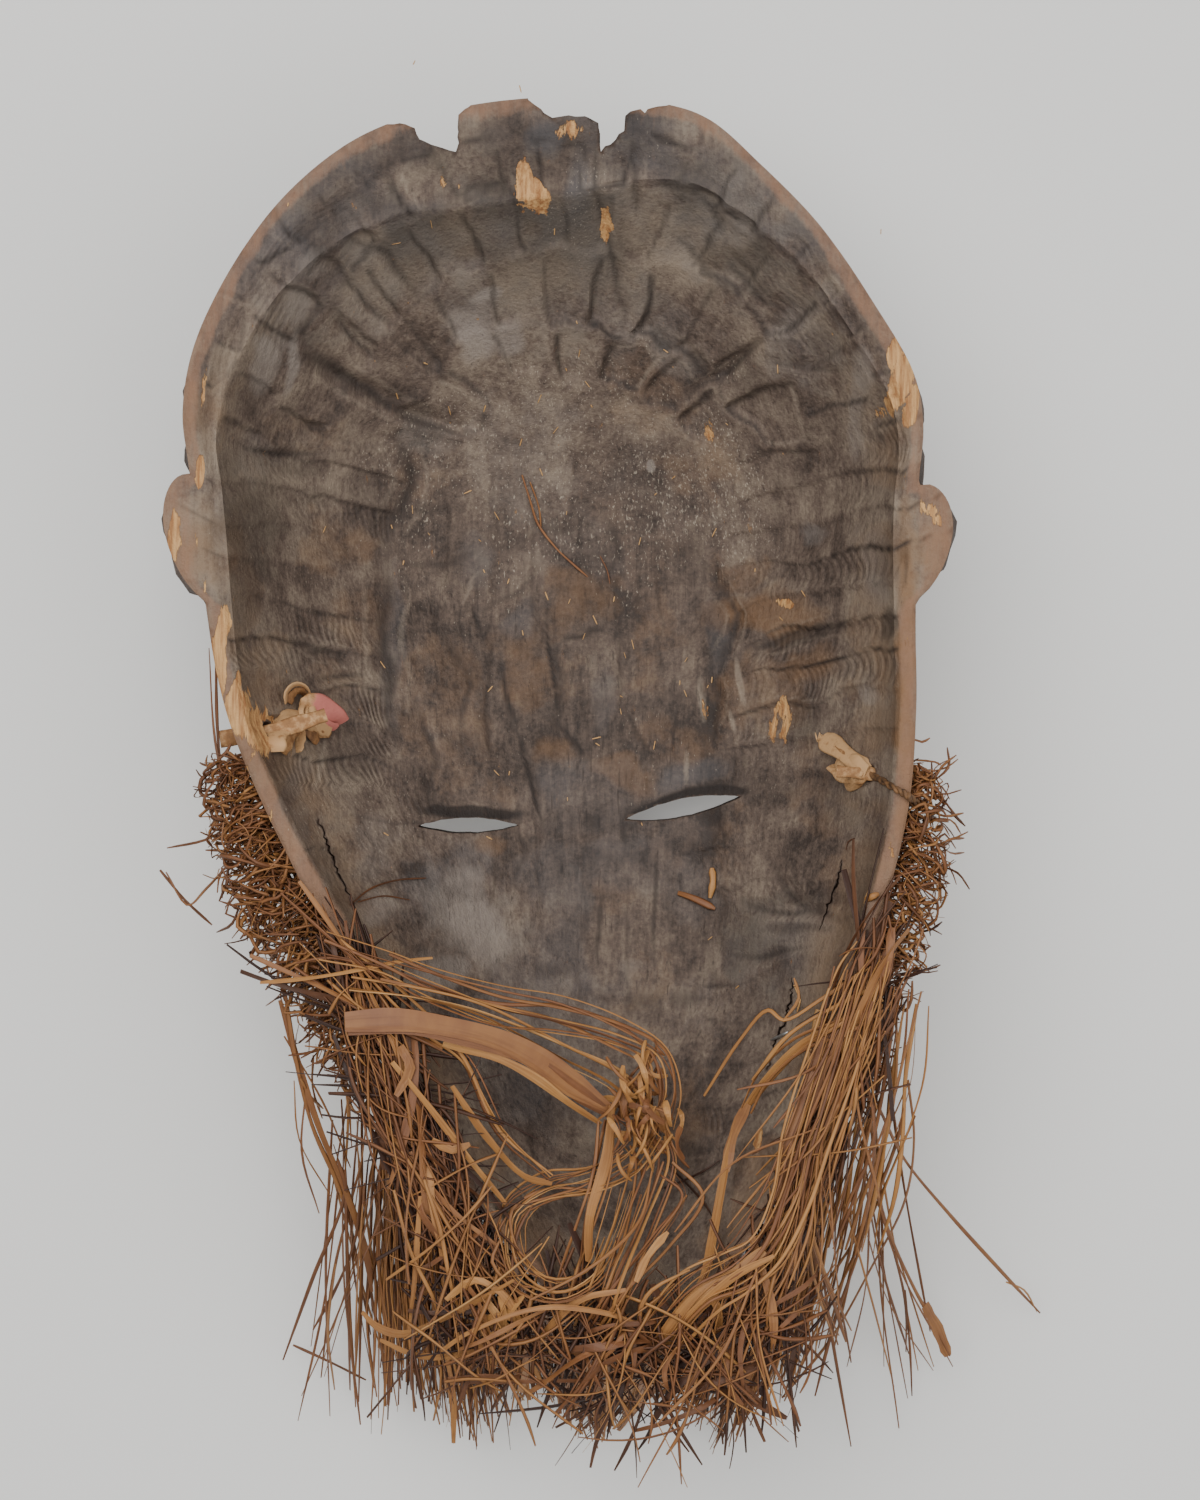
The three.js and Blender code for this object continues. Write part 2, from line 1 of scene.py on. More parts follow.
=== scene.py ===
import math
import random

import bmesh
import bpy
import numpy as np
from mathutils import Matrix, Vector
from mathutils.bvhtree import BVHTree


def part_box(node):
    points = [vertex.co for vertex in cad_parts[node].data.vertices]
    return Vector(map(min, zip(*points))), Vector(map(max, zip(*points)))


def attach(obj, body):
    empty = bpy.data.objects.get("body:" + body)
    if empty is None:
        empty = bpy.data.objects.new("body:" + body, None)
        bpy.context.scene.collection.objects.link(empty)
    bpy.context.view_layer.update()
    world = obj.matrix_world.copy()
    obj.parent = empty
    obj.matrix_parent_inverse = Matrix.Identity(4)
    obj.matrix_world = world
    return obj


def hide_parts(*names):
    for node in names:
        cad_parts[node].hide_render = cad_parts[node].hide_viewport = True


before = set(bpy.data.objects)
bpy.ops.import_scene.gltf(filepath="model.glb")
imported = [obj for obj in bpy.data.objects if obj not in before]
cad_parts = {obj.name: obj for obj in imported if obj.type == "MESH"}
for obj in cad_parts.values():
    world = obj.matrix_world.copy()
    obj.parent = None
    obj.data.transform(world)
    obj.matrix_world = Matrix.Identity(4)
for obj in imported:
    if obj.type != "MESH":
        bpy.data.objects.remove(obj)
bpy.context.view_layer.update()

# The carver's frame is in millimetres: the rim's plane is z = 0 and the hollow goes down from it.
shellLow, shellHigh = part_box("mask_shell")
shellMiddle = (-4.82, -5.76)  # middle of the shell's plan in the carver's frame
shift = Vector((
    (shellLow.x + shellHigh.x) * 500 - shellMiddle[0],
    (shellLow.y + shellHigh.y) * 500 - shellMiddle[1],
    shellHigh.z * 1000,
))

camera = {
    "aim": (6.72, -14.0),  # plan place under the lens, mm
    "height": 1100.0,  # over the rim's plane, mm
    "frameTall": 420.0,  # what the picture takes in at the rim's plane, mm
    "frameAcross": 1200, "frameDown": 1500,  # the picture's own units, which places on it are named in
    "sensorTall": 24,
}
pixel = camera["frameTall"] / camera["frameDown"]  # mm at the rim's plane
halfAcross, halfDown = camera["frameAcross"] / 2, camera["frameDown"] / 2


def toFrame(point):
    return (Vector(point) + shift) / 1000


def placed(points):
    return (np.asarray(points, float) + np.array(shift)) / 1000


def seen(across, down, z=0.0):
    # a place named by where it shows in the picture, at a height z over the rim's plane
    shrink = pixel * (1 - z / camera["height"])
    x, y = camera["aim"]
    return x + (across - halfAcross) * shrink, y + (halfDown - down) * shrink, z


def shownAt(x, y, z):
    # where a point shows in the picture
    shrink = pixel * (1 - z / camera["height"])
    return halfAcross + (x - camera["aim"][0]) / shrink, halfDown - (y - camera["aim"][1]) / shrink


def addObject(name, data):
    made = bpy.data.objects.new(name, data)
    bpy.context.scene.collection.objects.link(made)
    return made


def makeCamera():
    lens = bpy.data.cameras.new("camera")
    lens.sensor_fit = "VERTICAL"
    lens.sensor_height = camera["sensorTall"]
    lens.lens = camera["sensorTall"] * camera["height"] / camera["frameTall"]
    lens.clip_start = 0.01
    lens.clip_end = 20
    holder = addObject("camera", lens)
    holder.location = toFrame((*camera["aim"], camera["height"]))
    bpy.context.scene.camera = holder


makeCamera()
print("camera set")


def smoothStep(low, high, v):
    # from 0 at low to 1 at high, either way round
    t = np.clip((np.asarray(v, float) - low) / (high - low), 0, 1)
    return t * t * (3 - 2 * t)


def bell(v):
    return np.exp(-np.square(v))


def dome(v, power=0.8):
    return np.maximum(0, 1 - np.square(v)) ** power


def mix(a, b, t):
    return a + (b - a) * t


def hashed(ix, iy, iz, seed):
    n = (ix * 374761393 + iy * 668265263 + iz * 1274126177 + seed * 1442695041) & 0xFFFFFFFF
    n = ((n ^ (n >> 13)) * 1103515245) & 0xFFFFFFFF
    n = ((n ^ (n >> 15)) * 1597334677) & 0xFFFFFFFF
    return ((n ^ (n >> 16)) & 0xFFFF) / 32767.5 - 1


def softNoise(x, y, z=0.0, seed=0):
    # smooth noise from -1 to 1, one lump per unit
    x, y, z = np.broadcast_arrays(np.asarray(x, float), np.asarray(y, float), np.asarray(z, float))
    ix, iy, iz = (np.floor(v).astype(np.int64) for v in (x, y, z))
    fx, fy, fz = (v * v * (3 - 2 * v) for v in (x - ix, y - iy, z - iz))
    total = 0
    for dz in (0, 1):
        for dy in (0, 1):
            for dx in (0, 1):
                weight = (fx if dx else 1 - fx) * (fy if dy else 1 - fy) * (fz if dz else 1 - fz)
                total = total + weight * hashed(ix + dx, iy + dy, iz + dz, seed)
    return total


def layered(x, y, size, layers=3, seed=0, z=0.0):
    total = 0
    for k in range(layers):
        scaled = (v / size * 2 ** k for v in (x, y, z))
        total = total + softNoise(*scaled, seed + k * 17) / 2 ** k
    return total / 1.6


def roundedLine(points, closed=False, perSpan=12):
    # a smooth line through a few points
    points = np.asarray(points, float)
    count = len(points)
    made = []
    for i in range(count if closed else count - 1):
        if closed:
            p0, p1, p2, p3 = (points[(i + k) % count] for k in (-1, 0, 1, 2))
        else:
            p1, p2 = points[i], points[i + 1]
            p0 = points[i - 1] if i > 0 else 2 * p1 - p2
            p3 = points[i + 2] if i + 2 < count else 2 * p2 - p1
        d0, d1, d2 = (max(1e-4, float(np.linalg.norm(step)) ** 0.5) for step in (p1 - p0, p2 - p1, p3 - p2))
        start = ((p1 - p0) / d0 - (p2 - p0) / (d0 + d1) + (p2 - p1) / d1) * d1
        end = ((p2 - p1) / d1 - (p3 - p1) / (d1 + d2) + (p3 - p2) / d2) * d1
        t = (np.arange(perSpan) / perSpan)[:, None]
        made.append(p1 + start * t + (-3 * p1 + 3 * p2 - 2 * start - end) * t ** 2
                    + (2 * p1 - 2 * p2 + start + end) * t ** 3)
    if not closed:
        made.append(points[-1:])
    return np.concatenate(made)


def linear(hexColour):
    # a colour as it is seen, turned into the light that it stands for
    parts = [int(hexColour[i:i + 2], 16) / 255 for i in (1, 3, 5)]
    return [c / 12.92 if c <= 0.04045 else ((c + 0.055) / 1.055) ** 2.4 for c in parts] + [1.0]


def wire(node, links):
    # a source is an output, or a node, whose first output in use is then meant
    for key, source in links.items():
        if isinstance(source, bpy.types.Node):
            source = next(output for output in source.outputs if output.enabled)
        node.id_data.links.new(source, node.inputs[key])


def addNode(tree, kind, settings=None, links=None):
    node = tree.nodes.new(kind)
    for key, value in (settings or {}).items():
        if isinstance(key, int) or (key in node.inputs and not hasattr(node, key)):
            node.inputs[key].default_value = value
        else:
            setattr(node, key, value)
    wire(node, links or {})
    return node


def newFinish(name, values):
    # a material with its plain values set, its tree and its shader
    material = bpy.data.materials.new(name)
    material.use_nodes = True
    shader = material.node_tree.nodes["Principled BSDF"]
    for key, value in values.items():
        shader.inputs[key].default_value = value
    return material, material.node_tree, shader


def setRamp(ramp, colours):
    # colours by their places: the first and the last, then those between
    stops = ramp.color_ramp.elements
    (first, last), between = (min(colours), max(colours)), sorted(colours)[1:-1]
    for stop, position in ((stops[0], first), (stops[1], last)):
        stop.position = position
        stop.color = colours[position]
    for position in between:
        stops.new(position).color = colours[position]


def addPiece(name, points, faces=(), edges=(), values=None, material=None):
    # an object from points in metres; values are numbers by name, one for each point
    mesh = bpy.data.meshes.new(name)
    mesh.from_pydata([tuple(p) for p in points], list(edges), list(faces))
    for key, numbers in (values or {}).items():
        mesh.attributes.new(key, "FLOAT", "POINT").data.foreach_set("value", numbers)
    if material:
        mesh.materials.append(material)
    mesh.shade_smooth()
    return addObject(name, mesh)


def cleaned(mesh, outwards=True, triangles=False):
    # turns a closed mesh's faces outwards or splits them in triangles, and gives its volume in litres
    work = bmesh.new()
    work.from_mesh(mesh)
    if outwards:
        bmesh.ops.recalc_face_normals(work, faces=work.faces)
    if triangles:
        bmesh.ops.triangulate(work, faces=work.faces)
    litres = work.calc_volume(signed=True) * 1000
    work.to_mesh(mesh)
    work.free()
    return litres


def readPoints(mesh, key):
    values = np.zeros(len(mesh.vertices) * 3)
    mesh.vertices.foreach_get(key, values)
    return values.reshape(-1, 3)


def carverPlaces(mesh):
    # a mesh's points in the carver's millimetres
    return readPoints(mesh, "co") * 1000 - np.array(shift)


floorLook = {"size": 6.0, "colour": "#D8D7D4", "glow": 0.26}
lights = {
    "main": {"place": (-420, 520, 1500), "size": 1.5, "power": 23},
    "fill": {"place": (700, -300, 1300), "size": 1.8, "power": 11},
    "sky": 0.42,
}


def makeStage():
    # matt paper: even, no gloss
    paper = newFinish("palePaper", {
        "Base Color": linear(floorLook["colour"]), "Roughness": 0.95, "Specular IOR Level": 0.1,
        "Emission Color": linear(floorLook["colour"]), "Emission Strength": floorLook["glow"],
    })[0]
    half = floorLook["size"] / 2
    corners = [(-half, -half, 0), (half, -half, 0), (half, half, 0), (-half, half, 0)]
    addPiece("floor", corners, [(0, 1, 2, 3)], material=paper)
    for name in ("main", "fill"):
        look = lights[name]
        lamp = bpy.data.lights.new(name, "AREA")
        lamp.shape = "DISK"
        lamp.size = look["size"]
        lamp.energy = look["power"]
        holder = addObject(name, lamp)
        holder.location = Vector(look["place"]) / 1000
        holder.rotation_euler = (-holder.location).to_track_quat("-Z", "Y").to_euler()
    world = bpy.data.worlds.new("studio")
    world.use_nodes = True
    sky = world.node_tree.nodes["Background"].inputs
    sky["Color"].default_value = (1, 1, 1, 1)
    sky["Strength"].default_value = lights["sky"]
    bpy.context.scene.world = world


makeStage()
print("floor and light set")

mask = {
    "rim": [
        (20.7, -180), (34.7, -172), (45.9, -156.8), (71, -112), (78.4, -81), (87.9, -53), (93.5, -28),
        (95.4, -2), (95.2, 22), (96, 60), (97.4, 77), (94.9, 91), (83, 112), (68.4, 133), (52, 150),
        (37, 163),
        (24, 167.3), (3, 169), (-17, 168.4), (-40, 164.8), (-54, 161), (-67, 154), (-83, 140), (-98, 119),
        (-107.5, 98),
        (-110.3, 80), (-108.5, 65), (-104, 28), (-100.6, 7), (-95.5, -11), (-77.3, -50.5), (-63.3, -73),
        (-53.5, -95), (-39.5, -123), (-18.5, -154), (2.5, -175),
    ],
    "centre": (2.0, -5.0),
    "foreheadDepth": 81, "eyeDepth": 64, "jawDepth": 57, "wall": 10,
    "rimEdge": 3, "land": 5.6, "crownLand": 20, "restDepth": 88,
    "ears": {"left": (10.5, 28, 63), "right": (11.5, 28, 60), "thickness": 22},
    "landShare": 0.94, "flatRim": 4.3,
    "sharpFrom": 48,  # degrees between faces from which an edge stays sharp
    "columns": 560, "rings": 104,  # of the carved mesh
}
middleX, middleY = mask["centre"]
seeds = {"beard": 5, "shells": 23, "knots": 17, "staple": 3, "cracks": 61, "notches": 5, "slits": 31}

woodFinish = {
    "brown": "#615248", "deep": "#3B312B", "light": "#867767", "warm": "#7E5B3A", "cool": "#5B5B5E",
    "chalk": "#94897F", "bare": "#CDA06A", "bareDeep": "#98683F", "edge": "#8E6A52", "soot": "#241D1A",
    "outside": "#3B2A20", "speck": "#C6B9A5", "lip": "#9A8B7A",
}
# Grain of the wood and its grime: size of a lump in mm, detail, roughness, stretch (the grain runs along Y)
woodGrain = {
    "broad": (24, 5, 0.6, (1, 1, 1)), "medium": (7, 5, 0.65, (1, 1, 1)), "fine": (1.2, 4, 0.7, (1, 1, 1)),
    "fibre": (1.5, 4, 0.65, (1, 0.07, 1)), "torn": (3.2, 5, 0.7, (1, 0.22, 1)),
    "fleck": (0.62, 2, 0.6, (1, 0.42, 1)),
    "hair": (1.1, 3, 0.6, (1, 0.05, 1)),
}
# What lies over the plain wood, in order: attribute, colour, grain that breaks its border, how much of that,
# the values between which it grows, and the most that it covers
woodLayers = [
    ("warm", "warm", "medium", 0.7, 0.6, 1.4, 0.85), ("cool", "cool", "medium", 0.9, 0.7, 1.55, 0.65),
    ("chalk", "chalk", "torn", 0.7, 0.6, 1.4, 0.75), ("lip", "lip", "fine", 0.6, 0.6, 1.4, 0.5),
    ("soot", "soot", "medium", 0.6, 0.5, 1.4, 0.7), ("groove", "soot", "fine", 0.5, 0.5, 1.3, 0.85),
    ("grainLine", "soot", "hair", 4.2, 3.55, 4.0, 0.5), ("edge", "edge", "torn", 2.4, 1.5, 2.7, 0.75),
    ("specks", "speck", "fleck", 4.2, 3.5, 3.95, 0.45),
]


def makeWood():
    # soft light wood, adzed and handled for decades: grey-brown grime over pale fresh wood, matt; painted
    # shade lies in the adze's steps and along the eye slits, painted light on the steep walls
    material, tree, shader = newFinish("adzedPatinatedWood", {"Specular IOR Level": 0.35})
    place = addNode(tree, "ShaderNodeTexCoord").outputs["Object"]
    look = {k: linear(v) for k, v in woodFinish.items()}
    grain = {}
    for name, (size, detail, rough, stretch) in woodGrain.items():
        moved = addNode(tree, "ShaderNodeMapping", {"Scale": stretch}, {"Vector": place})
        grain[name] = addNode(tree, "ShaderNodeTexNoise",
                              {"Scale": 1000 / size, "Detail": detail, "Roughness": rough},
                              {"Vector": moved})
    painted = {}
    for name in ("hollow", "bare", "chatter", "phase", "tint") + tuple(layer[0] for layer in woodLayers):
        painted[name] = addNode(tree, "ShaderNodeAttribute", {"attribute_name": name}).outputs["Fac"]

    # plain wood, clouded by grime; the tint adds the strokes' painted shading and painted light on the steep
    # walls
    clouds = addNode(tree, "ShaderNodeMath", {"operation": "MULTIPLY", 1: 0.34}, {0: grain["broad"]})
    for source, share in ((grain["medium"], 0.3), (grain["fibre"], 0.18), (grain["fine"], 0.22),
                          (painted["tint"], 0.06)):
        clouds = addNode(tree, "ShaderNodeMath", {"operation": "MULTIPLY_ADD", 1: share},
                         {0: source, 2: clouds})
    tones = []
    for low, middle, high in (("deep", "brown", "light"), ("soot", "outside", "brown")):
        tones.append(addNode(tree, "ShaderNodeValToRGB", None, {"Fac": clouds}))
        setRamp(tones[-1], {0.4: look[low], 0.5: look[middle], 0.62: look[high]})
    colour = addNode(tree, "ShaderNodeMix", {"data_type": "RGBA"},
                     {0: painted["hollow"], 6: tones[1], 7: tones[0]})

    # the skipping blade's ridges, about 2 mm apart: painted shade between them
    crest = addNode(tree, "ShaderNodeMath", {"operation": "PINGPONG", 1: 0.5}, {0: painted["phase"]})
    ridge = addNode(tree, "ShaderNodeMath", {"operation": "MULTIPLY"}, {0: crest, 1: painted["chatter"]})
    between = addNode(tree, "ShaderNodeMapRange", {"From Min": 0.3, "From Max": 0.02, "To Max": 0.5},
                      {"Value": crest})
    shade = addNode(tree, "ShaderNodeMath", {"operation": "MULTIPLY"}, {0: between, 1: painted["chatter"]})
    colour = addNode(tree, "ShaderNodeMix", {"data_type": "RGBA", 7: look["deep"]}, {0: shade, 6: colour})

    for name, tint, breaker, much, low, high, most in woodLayers:
        pushed = addNode(tree, "ShaderNodeMath", {"operation": "MULTIPLY_ADD", 1: much},
                         {0: grain[breaker], 2: painted[name]})
        share = addNode(tree, "ShaderNodeMapRange", {"From Min": low, "From Max": high, "To Max": most},
                        {"Value": pushed})
        colour = addNode(tree, "ShaderNodeMix", {"data_type": "RGBA", 7: look[tint]}, {0: share, 6: colour})

    # fresh breaks: fibrous, torn along the grain
    fresh = addNode(tree, "ShaderNodeMapRange", {"From Min": 0.4, "From Max": 0.62},
                    {"Value": grain["fibre"]})
    bareTone = addNode(tree, "ShaderNodeMix", {"data_type": "RGBA", 6: look["bare"], 7: look["bareDeep"]},
                       {0: fresh})
    tearing = addNode(tree, "ShaderNodeMath", {"operation": "MULTIPLY_ADD", 1: 2.2},
                      {0: grain["torn"], 2: painted["bare"]})
    broken = addNode(tree, "ShaderNodeMapRange", {"From Min": 1.53, "From Max": 1.63}, {"Value": tearing})
    colour = addNode(tree, "ShaderNodeMix", {"data_type": "RGBA"}, {0: broken, 6: colour, 7: bareTone})

    rough = addNode(tree, "ShaderNodeMapRange",
                    {"From Min": 0.3, "From Max": 0.7, "To Min": 0.58, "To Max": 0.84},
                    {"Value": grain["medium"]})
    height = addNode(tree, "ShaderNodeMath", {"operation": "MULTIPLY", 1: 0.5}, {0: grain["fibre"]})
    for source, share in ((grain["fine"], 0.9), (grain["medium"], 1.0), (ridge, 1.25), (broken, -0.6)):
        height = addNode(tree, "ShaderNodeMath", {"operation": "MULTIPLY_ADD", 1: share},
                         {0: source, 2: height})
    bump = addNode(tree, "ShaderNodeBump", {"Strength": 0.8, "Distance": 0.0007}, {"Height": height})
    wire(shader, {"Base Color": colour, "Roughness": rough, "Normal": bump})
    return material


outline = roundedLine([(x - middleX, y - middleY) for x, y in mask["rim"]], True, 40)
outlineTurns = np.arctan2(outline[:, 1], outline[:, 0])
outlineOrder = np.argsort(outlineTurns)
outlineTurns = outlineTurns[outlineOrder]
outlineRadii = np.hypot(outline[:, 0], outline[:, 1])[outlineOrder]


def baseRadius(turn):
    wrapped = np.arctan2(np.sin(turn), np.cos(turn))
    return np.interp(wrapped, outlineTurns, outlineRadii, period=2 * math.pi)


def earRise(turn):
    y = middleY + baseRadius(turn) * np.sin(turn)
    rise = 0
    for side, sign in (("left", -1), ("right", 1)):
        projection, low, high = mask["ears"][side]
        share = np.clip((y - low) / (high - low), 0, 1)
        rise = rise + np.where(np.cos(turn) * sign > 0, projection * np.sin(math.pi * share) ** 0.6, 0)
    return rise


def landWidth(turn):
    lean = 90 - np.degrees(np.arctan2(np.sin(turn), np.cos(turn)))
    return (mask["land"] + mask["crownLand"] * bell((lean + 8) / 26)
            + 5 * bell((lean + 50) / 25) + 3.5 * bell((lean - 42) / 24))


def hollowDepth(y):
    eye, jaw, forehead = mask["eyeDepth"], mask["jawDepth"], mask["foreheadDepth"]
    return mix(jaw, eye, smoothStep(-150, -70, y)) + (forehead - eye) * bell((y - 62) / 52)


def faceRelief(x, y):
    q = x - (middleX - 0.07 * (y - middleY))
    side = np.abs(q)
    hairline = 104 - 0.0065 * q * q
    hair = smoothStep(-3, 3, y - hairline)
    ray = np.arctan2(q, y - 20)
    height = 3.2 * bell(q / 5) * smoothStep(-24, -8, y) * (1 - smoothStep(86, 100, y))
    height += (4 * bell((y + 11 + ((side - 30) / 34) ** 2 * 9) / 6.5)
               * smoothStep(6, 16, side) * (1 - smoothStep(56, 72, side)))
    height -= 2.5 * bell((side - 32) / 24) * bell((y + 32) / 16)
    height += 8 * dome(np.minimum(1, np.hypot((side - 32) / 22, (y + 34) / 12)), 0.8)
    along = (-14 - y) / 62
    down = np.clip(along, 0, 1)
    nose = mix(5, 19.5, down) * (1 - smoothStep(1, 1.18, along))
    height += np.where(along > 0, nose * dome(np.minimum(1, side / mix(7, 17, down ** 1.6)), 0.75), 0)
    height += 4 * bell(q / 30) * bell((y + 113) / 18)
    height += 7 * bell((y + 106) / 4.5) * dome(np.minimum(1, side / 28), 0.6)
    height += 7 * bell((y + 119) / 5) * dome(np.minimum(1, side / 25), 0.6)
    height += 4 * bell(q / 22) * bell((y + 150) / 14)
    height += hair * (4 + 5 * (1 - smoothStep(15, 21, side)) + 1.2 * np.cos(ray * 44))
    # what the knife adds: combed hair, lid lines, lips' corners
    height += hair * 0.5 * np.cos(ray * 176) - hair * 0.6 * bell((np.mod(y - hairline, 9) - 4.5) / 1.1)
    lid = np.hypot((side - 32) / 22, (y + 34) / 12)
    height -= 1.1 * bell((lid - 0.98) / 0.07) + 0.9 * bell((lid - 0.72) / 0.05)
    height -= 0.9 * bell((y + 112.6) / 1.1) * dome(np.minimum(1, side / 30), 0.5)
    return height


def bareOutside(share, turn):
    base = baseRadius(turn)
    y = middleY + share * base * np.sin(turn)
    drop = (hollowDepth(y) + mask["wall"] - mask["rimEdge"]) * np.maximum(0, 1 - share ** 2.6) ** 0.62
    thick = mask["ears"]["thickness"]
    ear = earRise(turn) * (1 - smoothStep(thick - 8, thick + 8, drop)) * smoothStep(0.8, 0.92, share)
    radius = share * base + ear
    return np.stack([middleX + radius * np.cos(turn), middleY + radius * np.sin(turn),
                     -mask["rimEdge"] - drop], -1)


def outsideNormal(share, turn):
    step = 0.004
    inner = np.minimum(share, 1 - step)
    out = bareOutside(inner + step, turn) - bareOutside(np.maximum(0, inner - step), turn)
    around = bareOutside(inner, turn + step) - bareOutside(inner, turn - step)
    normal = np.cross(around, out)
    normal[np.broadcast_to(share < 0.02, normal.shape[:-1])] = (0, 0, -1)
    return normal / np.linalg.norm(normal, axis=-1, keepdims=True)


def outside(share, turn, proud=0.0):
    here = bareOutside(share, turn)
    relief = faceRelief(here[..., 0], here[..., 1]) * smoothStep(2, 16, -here[..., 2] - mask["rimEdge"])
    chips = 0.35 * layered(here[..., 0], here[..., 1], 9, 3, 5, here[..., 2])
    made = here + outsideNormal(share, turn) * (relief + chips + proud)[..., None]
    made[..., 2] = np.maximum(made[..., 2], -mask["restDepth"] + 0.02)
    return made


def rimDrop(turn):
    # how far the rim's inner part slopes down to the hollow
    return 1.2 + 0.22 * (landWidth(turn) - mask["land"])


def bareInside(share, turn):
    base = baseRadius(turn)
    width = landWidth(turn)
    land = base - width
    onLand = (share - mask["landShare"]) / (1 - mask["landShare"])
    s = np.minimum(share / mask["landShare"], 1)
    radius = np.where(onLand > 0, mix(land, base + earRise(turn), np.maximum(onLand, 0)), s * land)
    y = middleY + radius * np.sin(turn)
    wall = hollowDepth(y) * np.maximum(0, 1 - s ** 2.6) ** 0.75
    drop = rimDrop(turn)
    sloped = drop * (1 - smoothStep(0, 1 - mask["flatRim"] / width, np.maximum(onLand, 0))) ** 1.3
    z = np.where(onLand > 0, -sloped, -(wall ** 4 + drop ** 4) ** 0.25)
    return np.stack([middleX + radius * np.cos(turn), y, z], -1)


# The adze's strokes. Picture units run 1200 by 1500, one unit is about 0.28 mm
strokes = {
    "middle": (562, 485),  # the forehead's strokes run inwards to here, in rings
    "rings": [66, 118, 176, 238, 302, 366, 440], "width": 44,
    "templeRow": 37, "templeWidth": 84, "lean": 0.17,  # the temples' short strokes lie in rows
    "gougeWidth": 44, "gougeLength": 150,  # the floor's long gouges follow the grain
    "cheekRow": 42, "cheekWidth": 88, "ridge": 7.0,
    "halves": 560,  # right of this the rows are numbered on their own
}

# Deeper cuts that stand out: a run of picture places, half-width in picture units, depth in mm
deepCuts = [
    ([(335, 270), (368, 300), (400, 325)], 6, 1.2), ([(325, 310), (355, 340), (385, 365)], 6, 1.3),
    ([(300, 345), (345, 372), (400, 408), (440, 430)], 9, 2.2), ([(300, 400), (335, 440)], 6, 1.1),
    ([(440, 207), (470, 192), (500, 187), (530, 235)], 7, 1.4), ([(645, 150), (640, 217)], 6, 1.2),
    ([(690, 190), (712, 215), (733, 256)], 6, 1.2), ([(640, 330), (690, 352), (720, 385)], 8, 1.5),
    ([(725, 255), (752, 290), (790, 310)], 6, 1.2), ([(690, 400), (735, 372), (765, 330)], 7, 1.3),
    ([(230, 440), (278, 452), (325, 455)], 6, 1.4), ([(280, 630), (312, 645), (345, 650)], 6, 1.4),
    ([(310, 672), (370, 676)], 6, 1.2), ([(845, 620), (800, 640), (740, 650)], 7, 1.8),
    ([(700, 560), (735, 610), (712, 668)], 7, 1.1), ([(392, 560), (388, 650), (398, 740)], 14, 1.5),
    ([(398, 432), (405, 480), (386, 545)], 13, 1.3), ([(610, 500), (622, 545), (600, 600)], 8, 0.5),
    ([(440, 600), (470, 690), (455, 770)], 8, 0.5), ([(708, 655), (716, 700), (706, 745)], 7, 0.9),
    ([(770, 860), (800, 905), (845, 925)], 8, 0.9), ([(735, 905), (790, 912), (840, 902)], 6, 1.1),
    ([(730, 950), (775, 958), (815, 948)], 6, 0.9), ([(500, 800), (520, 850), (505, 900)], 7, 0.5),
    ([(546, 612), (552, 648), (553, 684), (555, 717), (573, 749), (591, 763)], 4.5, 0.5),
    ([(501, 662), (505, 698), (517, 735), (528, 771), (534, 799), (543, 825)], 4.5, 0.5),
    ([(471, 605), (476, 626), (487, 644)], 5, 0.4), ([(552, 643), (584, 635), (609, 628)], 4.5, 0.4),
    ([(620, 705), (640, 745), (655, 770)], 4, 0.3), ([(699, 677), (705, 702), (707, 735)], 5, 0.5),
    ([(400, 300), (430, 350), (448, 392)], 6, 0.9), ([(345, 240), (392, 262), (425, 300)], 6, 1.0),
    ([(760, 360), (800, 372), (850, 372)], 6, 0.9), ([(735, 300), (700, 262), (668, 230)], 6, 0.8),
    ([(598, 120), (604, 200), (612, 262), (622, 330)], 6, 1.1),
    ([(420, 700), (432, 760), (420, 800)], 8, 0.6), ([(470, 560), (440, 575), (405, 560)], 7, 0.7),
    ([(540, 560), (520, 600), (470, 620)], 6, 0.5),
]


def nearLine(u, v, line):
    # distance from each point to a run of points, and how far along it
    best = np.full(u.shape, 1e9)
    along = np.zeros(u.shape)
    for k, ((au, av), (bu, bv)) in enumerate(zip(line[:-1], line[1:])):
        du, dv = bu - au, bv - av
        t = np.clip(((u - au) * du + (v - av) * dv) / max(1e-6, du * du + dv * dv), 0, 1)
        gap = np.hypot(u - au - t * du, v - av - t * dv)
        closer = gap < best
        best = np.where(closer, gap, best)
        along = np.where(closer, (k + t) / (len(line) - 1), along)
    return best, along


def chance(i, j, seed):
    return 0.5 + 0.5 * hashed(i.astype(np.int64), j.astype(np.int64), 0, seed)


